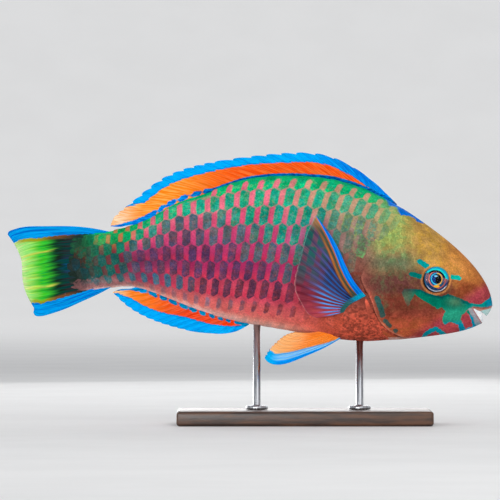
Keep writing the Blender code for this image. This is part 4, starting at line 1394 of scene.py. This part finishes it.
def make_caudal():
    place = fin_patch(CAUDAL_BASE, CAUDAL_REAR, CAUDAL_TOP, CAUDAL_BOTTOM)
    top, bottom = Curve(CAUDAL_TOP).points[::15], Curve(CAUDAL_BOTTOM).points[::15]

    def fields(u, v, x, z, web):
        upper = line_distance(x, z, top) - np.interp(
            -x, (0.112, 0.138, 0.146, 0.164, 0.175, 0.198), (3.0, 5.8, 7.0, 8.4, 10.0, 10.0))
        lower = line_distance(x, z, bottom) - np.interp(
            -x, (0.113, 0.1315, 0.142, 0.154, 0.167, 0.178), (2.5, 6.6, 7.6, 9.4, 10.3, 9.3))
        edge = np.minimum(upper, lower)
        # The bright half starts unevenly from ray to ray
        ray = 14 * u
        x = x + 0.0018 * np.sin(5.3 * ray) + 0.0012 * np.sin(12.1 * ray + 1) - 0.004 * (u - 0.5)
        gilt = bump(ray, 4.7, 0.14) + bump(ray, 9.3, 0.16)
        tone = layered((4, 62, 60), ((16, 70, 44), -x, 0.152, 0.160),
                       ((66, 196, 36), -x, 0.158, 0.170),
                       ((148, 228, 116), -x, 0.171, 0.184))
        other = layered((46, 38, 42), ((0, 78, 118), bump(z, 0.1310, 0.006)),
                        ((22, 34, 26), -x, 0.150, 0.158),
                        ((20, 188, 70), -x, 0.158, 0.172),
                        ((182, 226, 76), -x, 0.170, 0.180),
                        ((224, 226, 140), -x, 0.178, 0.188))
        gold = smooth(edge, 3.4, 1.8) * smooth(-x, 0.138, 0.156)
        bronze = layered((126, 80, 44), ((164, 154, 26), -x, 0.160, 0.174))
        tips = smooth(v, 0.86, 1.0) * smooth(-x, 0.165, 0.175)
        gilt *= smooth(-x, 0.158, 0.166) * smooth(v, 0.98, 0.90)
        return {"edge": edge, "margin": light(FIN_BLUE) * 0.80,
                "tone": layered(tone, (bronze, gold * 0.9), ((190, 232, 150), tips * 0.8),
                                ((226, 214, 92), gilt * 0.8)),
                "other": layered(other, (bronze * 0.8, gold * 0.9), ((232, 242, 196), tips * 0.8))}

    return make_fin("caudal_web", "caudal_fin", place, wave(1.5), thinning(0.0030), (241, 80), 14,
                    fields, caudal_material(), teeth=0.014, pleat=0.0004, quiet=2.2)


def flank_tone(x, z):
    """The scaled flank's colours at places seen from the side."""
    _, a = body_place(np.stack((x, 0 * x + PECTORAL_Y, z), -1).reshape(-1, 3))
    a = a.reshape(x.shape)
    row = (a - 0.5) * rows_at(x)
    middle = np.round(row)
    t = row - middle
    lean = 0.5 + column_at(x, middle + 0.5) - column_at(x, middle - 0.5)
    along = column_at(x, middle) + lean * t
    along = along - np.round(along)
    heart, bars, _ = scale_strengths(x, a)
    bars = bars * smooth(np.abs(along + 0.32), 0.21, 0.15) * smooth(np.abs(t), 0.46, 0.38)
    heart = heart * smooth(np.abs(along - 0.19), 0.33, 0.26) * smooth(
        np.abs(t) + 0.55 * np.abs(along - 0.14), 0.63, 0.55)
    return layered(rim_tone(x, a), (bar_tone(x, a), bars), (patch_tone(x, a), heart))


def make_pectoral(side, name, material):
    place = fin_patch(PECTORAL_BASE, PECTORAL_MARGIN, PECTORAL_LEAD, PECTORAL_TRAIL)
    lead, base = Curve(PECTORAL_LEAD).points[::12], Curve(PECTORAL_BASE).points[::40]

    def depth(u, v):
        root = PECTORAL_Y - 0.0052 * u * u
        return side * (root + 0.0048 * smooth(v / 0.2) + 0.0026 * v * (1 - u / 2))

    def fields(u, v, x, z, web):
        # Millimetres in from the blue strip along the leading edge
        inner = line_distance(x, z, lead) - np.interp(
            z, (0.112, 0.130, 0.148, 0.160, 0.172), (4.8, 4.6, 3.6, 2.0, 0.3))
        flank = layered((42, 74, 82), ((34, 26, 52), v + u, 1.34, 0.84),
                        ((104, 30, 46), u, 0.42, 0.66),
                        ((170, 62, 80), u, 0.66, 0.95))
        stripes = np.maximum(smooth(inner, 1.4, 0.8), bump(inner, 3.9, 0.9) * smooth(v, 1.05, 0.6))
        web_tone = layered(flank, ((62, 76, 66), inner, 5.6, 4.2),
                           ((192, 108, 40), v, 0.04, 0.2, stripes * 0.85),
                           ((190, 132, 84), z, 0.158, 0.168, 0.6))
        thin = np.abs((42 * u + 0.5) % 1.0 - 0.5)
        lines = np.maximum(smooth(web, 0.55, 0.20), 0.6 * smooth(thin, 0.20, 0.08) * smooth(u, 0.7, 0.5))
        lines = lines * smooth(inner, 4.6, 6.5)
        reach = smooth(v, 1.02 - 0.22 * smooth(u, 0.3, 0.9), 0.50 - 0.1 * u)
        ray_tone = layered((30, 92, 170), ((70, 168, 255), u, 0.42, 0.70),
                           ((122, 92, 160), v, 0.46, 0.80, 0.8))
        pad = smooth(line_distance(x, z, base), 4.6, 3.2)
        colour = layered(
            web_tone, (ray_tone, lines * np.clip(reach, 0, 1) * 0.95),
            ((0, 124, 232), inner, 0.25, -0.25),
            ((0, 82, 186), bump(inner, -1.4, 0.5) * 0.6),
            ((0, 158, 248), bump(inner, -2.7, 0.5) * 0.6),
            ((0, 168, 206), u, 0.60, 0.30, pad),
            ((52, 116, 116), u, 0.35, 0.65, pad),
            ((150, 196, 190), v, 0.985, 1.0, u, 0.62, 0.4, 0.7),
            ((232, 160, 160), v, 0.975, 1.0, u, 0.40, 0.6, 0.8))
        # The film between the rays is painted with the flank's pattern as if seen through it, dimmed as
        # painted shade
        film = 0.86 - 0.42 * smooth(v, 0.45, 0.92)
        solid = film + (1 - film) * np.clip(np.maximum(lines * 0.8, smooth(inner, 6.0, 4.0)), 0, 1)
        solid = np.maximum(solid, smooth(v, 0.30, 0.12))
        return {"tone": mix(flank_tone(x, z) * 0.75, colour, solid)}

    return make_fin(f"pectoral_web_{name}", f"pectoral_fin_{name}", place, depth,
                    thinning(0.0030, 0.0006, 0.5), (197, 74), 14, fields, material, teeth=0.008,
                    pleat=0.00035, quiet=2.5)


def make_pelvic(side, name, material):
    place = fin_patch(PELVIC_BASE, PELVIC_MARGIN, PELVIC_LEAD, PELVIC_TRAIL)
    lead = Curve(PELVIC_LEAD).points[::12]

    def depth(u, v):
        root = 0.0090 - 0.0045 * (1 - u) ** 2 * (1 - v) ** 2
        return side * (root + 0.0110 * v * (1 - 0.75 * u))

    def fields(u, v, x, z, web):
        zone = np.interp(x, (0.012, 0.026, 0.040, 0.0555, 0.063, 0.070), (8.4, 9.2, 7.0, 4.6, 2.8, 1.4))
        share = line_distance(x, z, lead) / zone
        orange = mix(FIN_ORANGE, (255, 186, 118), v, 0.36, 0.95)
        blues = layered((0, 150, 250), ((150, 224, 250), bump(share, 0.46, 0.07)),
                        ((156, 216, 246), bump(share, 0.74, 0.16) * 0.85),
                        ((60, 176, 236), share, 0.88, 0.98),
                        ((0, 184, 255), v, 0.80, 0.96))
        tone = mix(orange, blues, share, 1.05, 0.97)
        pale = mix((255, 176, 96), (255, 212, 160), v, 0.3, 0.8)
        return {"tone": tone, "other": mix(tone, pale, share, 0.9, 1.1, 0.6)}

    return make_fin(f"pelvic_web_{name}", f"pelvic_fin_{name}", place, depth, thinning(0.0026),
                    (113, 54), 11, fields, material, teeth=0.02, pleat=0.0004)


# Eyes
def eye_frame(side):
    """Origin and axes (forward, out, up) of one eye."""
    out = np.array((math.sin(EYE_TURN), side * math.cos(EYE_TURN) * math.cos(EYE_TILT), math.sin(EYE_TILT)))
    out /= np.linalg.norm(out)
    up = np.array((0, 0, 1.0)) - out * out[2]
    up /= np.linalg.norm(up)
    forward = np.cross(up, out) * side * -1
    if forward[0] < 0:
        forward = -forward
    return np.array((EYE[0], side * EYE_Y, EYE[1])), forward, out, up


def make_eye(side, name, ball_material, clear_material):
    origin, forward, out, up = eye_frame(side)
    turn = np.linspace(0, 2 * math.pi, EYE_AROUND, endpoint=False)

    def placed(wide, rise):
        """Points on rings round the eye's axis, at their distance from it and along it."""
        return (origin + (wide * np.cos(turn))[..., None] * forward
                + (wide * np.sin(turn))[..., None] * up + (rise + 0 * turn)[..., None] * out)

    p = np.linspace(0, math.pi * 0.75, EYE_RINGS)[:, None]
    r = np.sin(p) + 0 * turn
    front = p < math.pi / 2
    # The iris is a shallow dish round the pupil, under a clear dome
    dish = np.where(front, 0.0012 * smooth(r, 0.86, 0.60) - 0.0006 * smooth(r, 0.44, 0.36), 0)
    rim = 0.00035 * bump(r, 0.88, 0.03) * front
    ball = placed(EYE_RADIUS * r, EYE_DEPTH * np.cos(p) - dish + rim)
    # The eye looks a little backwards, so its rings lie off the middle
    fore, high = r * np.cos(turn) + 0.09 * (1 - r), r * np.sin(turn) - 0.03 * (1 - r)
    attributes = {"ring": np.where(front, np.hypot(fore, high), 2 - r).ravel(),
                  "local": np.stack((fore, high, 0 * r), -1).reshape(-1, 3)}
    settle(mesh_object(f"eyeball_{name}", ball, grid_faces(EYE_RINGS, EYE_AROUND, wrap=True), ball_material,
                       attributes, turned=True), "eye", f"eye_{name}")
    p = np.linspace(0, math.pi * 0.52, DOME_RINGS)[:, None]
    dome = placed(EYE_RADIUS * 0.93 * np.sin(p), EYE_DEPTH * (0.42 + 0.66 * np.cos(p)))
    settle(mesh_object(f"cornea_{name}", dome, grid_faces(DOME_RINGS, EYE_AROUND, wrap=True), clear_material,
                       turned=True), "eye")


def eye_material():
    """Rings of the iris from the pupil outwards, with painted glints and a painted reflection in the pupil,
    and a cyan lid over the top with a painted shadow under it.
    """
    graph = Graph("eyeball", Roughness=0.5, Specular_IOR_Level=0.1)
    where = graph.attribute("local", "Vector")
    fore, rise, _ = graph.node("SeparateXYZ", {0: where}).outputs
    wobble = graph.wobble(420, 0.012)
    ring = graph.plus(graph.attribute("ring"), wobble)

    def band(low, high, share=1.0):
        inner = graph.times(graph.step(ring, low - RING_SOFT, low + RING_SOFT), share)
        return graph.times(inner, graph.step(ring, high + RING_SOFT, high - RING_SOFT))

    def spot(x, z, wide, tall, outside=0):
        """An oval of its own on the eye, or all that lies outside it."""
        off = graph.node("VectorMath", {0: where, 1: (-x, -z, 0)}).outputs[0]
        off = graph.node("VectorMath", {0: off, 1: (1 / wide, 1 / tall, 0)}, operation="MULTIPLY")
        size = graph.node("VectorMath", {0: off.outputs[0]}, operation="LENGTH").outputs["Value"]
        return graph.step(size, 0.985, 1.015) if outside else graph.step(size, 1.2, 0.8)

    behind, ahead = graph.step(fore, 0.12, -0.02), graph.step(fore, -0.02, 0.12)
    low = graph.step(rise, -0.05, -0.35)
    fibres = graph.node("TexNoise", {"Vector": where, "Scale": 12.0, "Detail": 5.0}).outputs["Fac"]
    colour = graph.mix(graph.step(fibres, 0.35, 0.65), (150, 108, 112), (92, 74, 98))
    for share, tone in (
            (band(0.62, 0.90, low), (6, 52, 96)), (band(0.44, 0.62, low), (20, 78, 112)),
            (band(0.86, 1.30, behind), (20, 92, 134)), (band(0.86, 1.30, ahead), (84, 60, 74)),
            (band(0.53, 0.60, behind), (222, 118, 86)), (band(0.65, 0.71, ahead), (196, 88, 66)),
            # After the deep blue ring, the cyan ring on the pupil's rear side is a painted glint
            (band(0.42, 0.50), (0, 60, 128)), (band(0.35, 0.43, behind), (36, 200, 240)),
            (band(0.38, 0.46, ahead), (250, 192, 66)), (graph.step(ring, 0.38, 0.35), (1, 2, 5)),
            # The pupil's blue rear half is a painted reflection
            (graph.times(graph.step(ring, 0.37, 0.34), graph.step(fore, -0.02, -0.14)), (0, 58, 130)),
            # The light-blue spot high in the pupil is a painted highlight; the yellow spot below it is the
            # eye's own colour
            (spot(-0.04, 0.20, 0.13, 0.07), (120, 200, 240)), (spot(0.0, -0.53, 0.22, 0.09), (250, 182, 34)),
            (band(0.855, 0.89, graph.step(rise, -0.35, -0.62)), (226, 226, 232)),
            (band(0.925, 1.30), (16, 12, 20))):
        colour = graph.mix(share, colour, tone)
    # The lid's lower edge is a circle set back and down from the eye's own; the near-black band along the
    # cyan lid's lower edge is a painted shadow under it
    high = graph.step(graph.plus(rise, graph.times(fore, 0.30)), 0.20, 0.30)
    for size, tone in ((0.65, (4, 5, 12)), (0.785, (0, 214, 214)), (0.91, (0, 150, 196)),
                       (1.02, (0, 170, 166))):
        lid = graph.times(spot(-0.09, -0.12, size, size, 1), high)
        colour = graph.mix(lid, colour, tone)
    graph.link(colour, "Base Color")
    return graph.material


def clear_material():
    return Graph("cornea", Roughness=0.02, IOR=1.34, Base_Color=(1, 1, 1, 1), Transmission_Weight=1.0,
                 Alpha=0.25).material


# Stand
# A rod's radius and height over its foot, from the foot's flange up; -1 is the rod's top
ROD_PROFILE = (
    (0.0, 0.0), (0.0086, 0.0), (0.009, 0.0004), (0.009, 0.0024), (0.0085, 0.003), (0.0042, 0.003),
    (0.0034, 0.0034), (0.003, 0.0044), (0.003, -1), (0.0, -1),
)
ROD_AROUND = 48
RODS = (("stand_rod_front", 0.0906), ("stand_rod_rear", 0.0058))
BOARD_ROUND = 0.0025


def wood_material():
    graph = Graph("dark walnut", Roughness=0.40, Coat_Weight=0.2, Coat_Roughness=0.2)
    grain = graph.noise(26, 6, 0.6, stretch=(1.0, 9.0, 9.0))
    colour = graph.mix(graph.step(grain, 0.35, 0.68), (46, 28, 18), (92, 58, 36))
    pores = graph.noise(700, 2, 0.7, stretch=(0.06, 1.0, 1.0))
    colour = graph.mix(graph.step(pores, 0.60, 0.72, 0.0, 0.6), colour, (28, 16, 10))
    graph.link(colour, "Base Color")
    graph.link(graph.bump(pores, 0.0002, 0.3), "Normal")
    graph.link(graph.step(grain, 0.3, 0.7, 0.34, 0.50), "Roughness")
    return graph.material


def steel_material():
    graph = Graph("brushed steel", Metallic=1.0, Roughness=0.28)
    lines = graph.noise(900, 2, 0.6, stretch=(1.0, 1.0, 0.05))
    colour = graph.mix(graph.step(lines, 0.3, 0.7), (150, 152, 156), (190, 192, 196))
    graph.link(colour, "Base Color")
    graph.link(graph.step(lines, 0.3, 0.7, 0.22, 0.36), "Roughness")
    graph.link(graph.bump(lines, 0.00004, 0.4), "Normal")
    return graph.material


def make_stand():
    low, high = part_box("stand_base")
    shape = bmesh.new()
    bmesh.ops.create_cube(shape, size=1.0)
    bmesh.ops.scale(shape, verts=shape.verts, vec=high - low)
    bmesh.ops.translate(shape, verts=shape.verts, vec=(low + high) / 2)
    mesh = bpy.data.meshes.new("base")
    shape.to_mesh(mesh)
    shape.free()
    mesh = applied(mesh, ("BEVEL", {"width": BOARD_ROUND, "segments": 5, "limit_method": "ANGLE"}))
    settle(finished("stand_board", mesh, wood_material()), "stand_wood", "stand_base")
    steel = steel_material()
    turn = np.linspace(0, 2 * math.pi, ROD_AROUND, endpoint=False)
    for node, x in RODS:
        low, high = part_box(node)
        r, rise = np.array(ROD_PROFILE).T[..., None]
        z = np.where(rise < 0, high.z, low.z + rise)
        points = np.stack((x + r * np.cos(turn), r * np.sin(turn), z + 0 * turn), -1)
        faces = grid_faces(len(ROD_PROFILE), ROD_AROUND, wrap=True)
        rod = mesh_object(node.replace("rod", "bar"), points, faces, steel, turned=True)
        settle(rod, "stand_steel", node)


# Studio
FLOOR_REACH, BOWL_WIDTH, BOWL_RISE, FLOOR_AROUND = 6.2, 4.0, 2.6, 96
# The floor lies this far under the stand, so that the two faces don't flicker
FLOOR_GAP = 0.0002
FISH_MIDDLE = Vector((0, 0, 0.13))
WORLD_COLOUR, WORLD_STRENGTH = (0.95, 0.96, 1.0, 1), 0.58
CAMERA_PLACE, LENS, SENSOR, SIGHT = (0.0001, -4.81, 0.1437), 420, 36, 60
# Name, place, width, height, power and spread in degrees of the lamps on either side
LAMPS = (
    ("key", (0.60, 1.45, 0.95), 1.0, 1.0, 5.5, 180),
    ("fill", (-0.60, 1.45, 0.17), 1.8, 0.3, 2.2, 60),
)


def make_floor():
    """A round pale floor that rises to a bowl beyond the cameras."""
    graph = Graph("studio floor", Roughness=0.8, Specular_IOR_Level=0.2, Emission_Color=(1.0, 1.0, 0.99, 1.0))
    grain = graph.noise(8, 3)
    graph.link(graph.mix(graph.step(grain, 0.3, 0.7), [0.75, 0.75, 0.74], [0.78, 0.78, 0.77]), "Base Color")
    graph.link(graph.step(graph.attribute("far"), 1.0, 6.0, 0.0, 0.26), "Emission Strength")
    bowl = np.linspace(0, 1, 15)[1:]
    reach = np.concatenate((np.linspace(0.01, FLOOR_REACH, 16), FLOOR_REACH + bowl * BOWL_WIDTH))[:, None]
    rise = np.concatenate((np.zeros(16), BOWL_RISE * bowl**2))[:, None]
    turn = np.linspace(0, 2 * math.pi, FLOOR_AROUND, endpoint=False)
    points = np.stack((reach * np.cos(turn), reach * np.sin(turn), rise + 0 * turn - FLOOR_GAP), -1)
    floor = mesh_object("studio_floor", points, grid_faces(len(reach), FLOOR_AROUND, wrap=True),
                        graph.material, {"far": np.repeat(reach, FLOOR_AROUND)})


def make_lamps():
    """Soft lamps on both sides and above, in a pale world."""
    world = bpy.context.scene.world or bpy.data.worlds.new("studio")
    bpy.context.scene.world = world
    world.use_nodes = True
    colour, strength = world.node_tree.nodes["Background"].inputs[:2]
    colour.default_value, strength.default_value = WORLD_COLOUR, WORLD_STRENGTH
    places = [(name, (x, side * y, z), *rest) for side in (-1, 1) for name, (x, y, z), *rest in LAMPS]
    for name, place, wide, tall, power, spread in (*places, ("top", (0.0, 0.0, 1.5), 1.0, 1.0, 2.0, 180)):
        lamp = bpy.data.lights.new(name, "AREA")
        lamp.shape = "RECTANGLE"
        lamp.size, lamp.size_y = wide, tall
        lamp.energy, lamp.spread = power, math.radians(spread)
        thing = linked(name, lamp)
        thing.location = place
        thing.rotation_euler = (FISH_MIDDLE - Vector(place)).to_track_quat("-Z", "Y").to_euler()
        thing.visible_camera = False


def make_camera():
    """The photo's view: level, from far out on the fish's right."""
    camera = bpy.data.cameras.new("camera")
    camera.lens, camera.sensor_width, camera.clip_end = LENS, SENSOR, SIGHT
    thing = linked("camera", camera)
    thing.location = CAMERA_PLACE
    thing.rotation_euler = (math.pi / 2, 0, 0)
    bpy.context.scene.camera = thing
    bpy.context.scene.view_settings.view_transform = "Standard"


skin_look, scale_look = skin_material(), scale_material()
make_skin(skin_look)
make_scales(-1.0, "scales_right", scale_look)
make_scales(1.0, "scales_left", scale_look)
make_beak("upper_beak", UPPER_BEAK,
          beak_material("upper tooth plate", (158, 204, 202), (196, 220, 216), 0.0500))
make_beak("lower_beak", LOWER_BEAK,
          beak_material("lower tooth plate", (252, 252, 252), (214, 224, 230), 0.0600))
ball, clear = eye_material(), clear_material()
pectoral_look = rayed_material("pectoral fin", 0.03, 0.30, "tone", (6.0, 0.5))
pelvic_look = rayed_material("pelvic fin", 0.01, 0.20)
for side, name in ((-1.0, "right"), (1.0, "left")):
    make_eye(side, name, ball, clear)
    make_pectoral(side, name, pectoral_look)
    make_pelvic(side, name, pelvic_look)
make_dorsal()
make_anal()
make_caudal()
make_stand()
make_floor()
make_lamps()
make_camera()
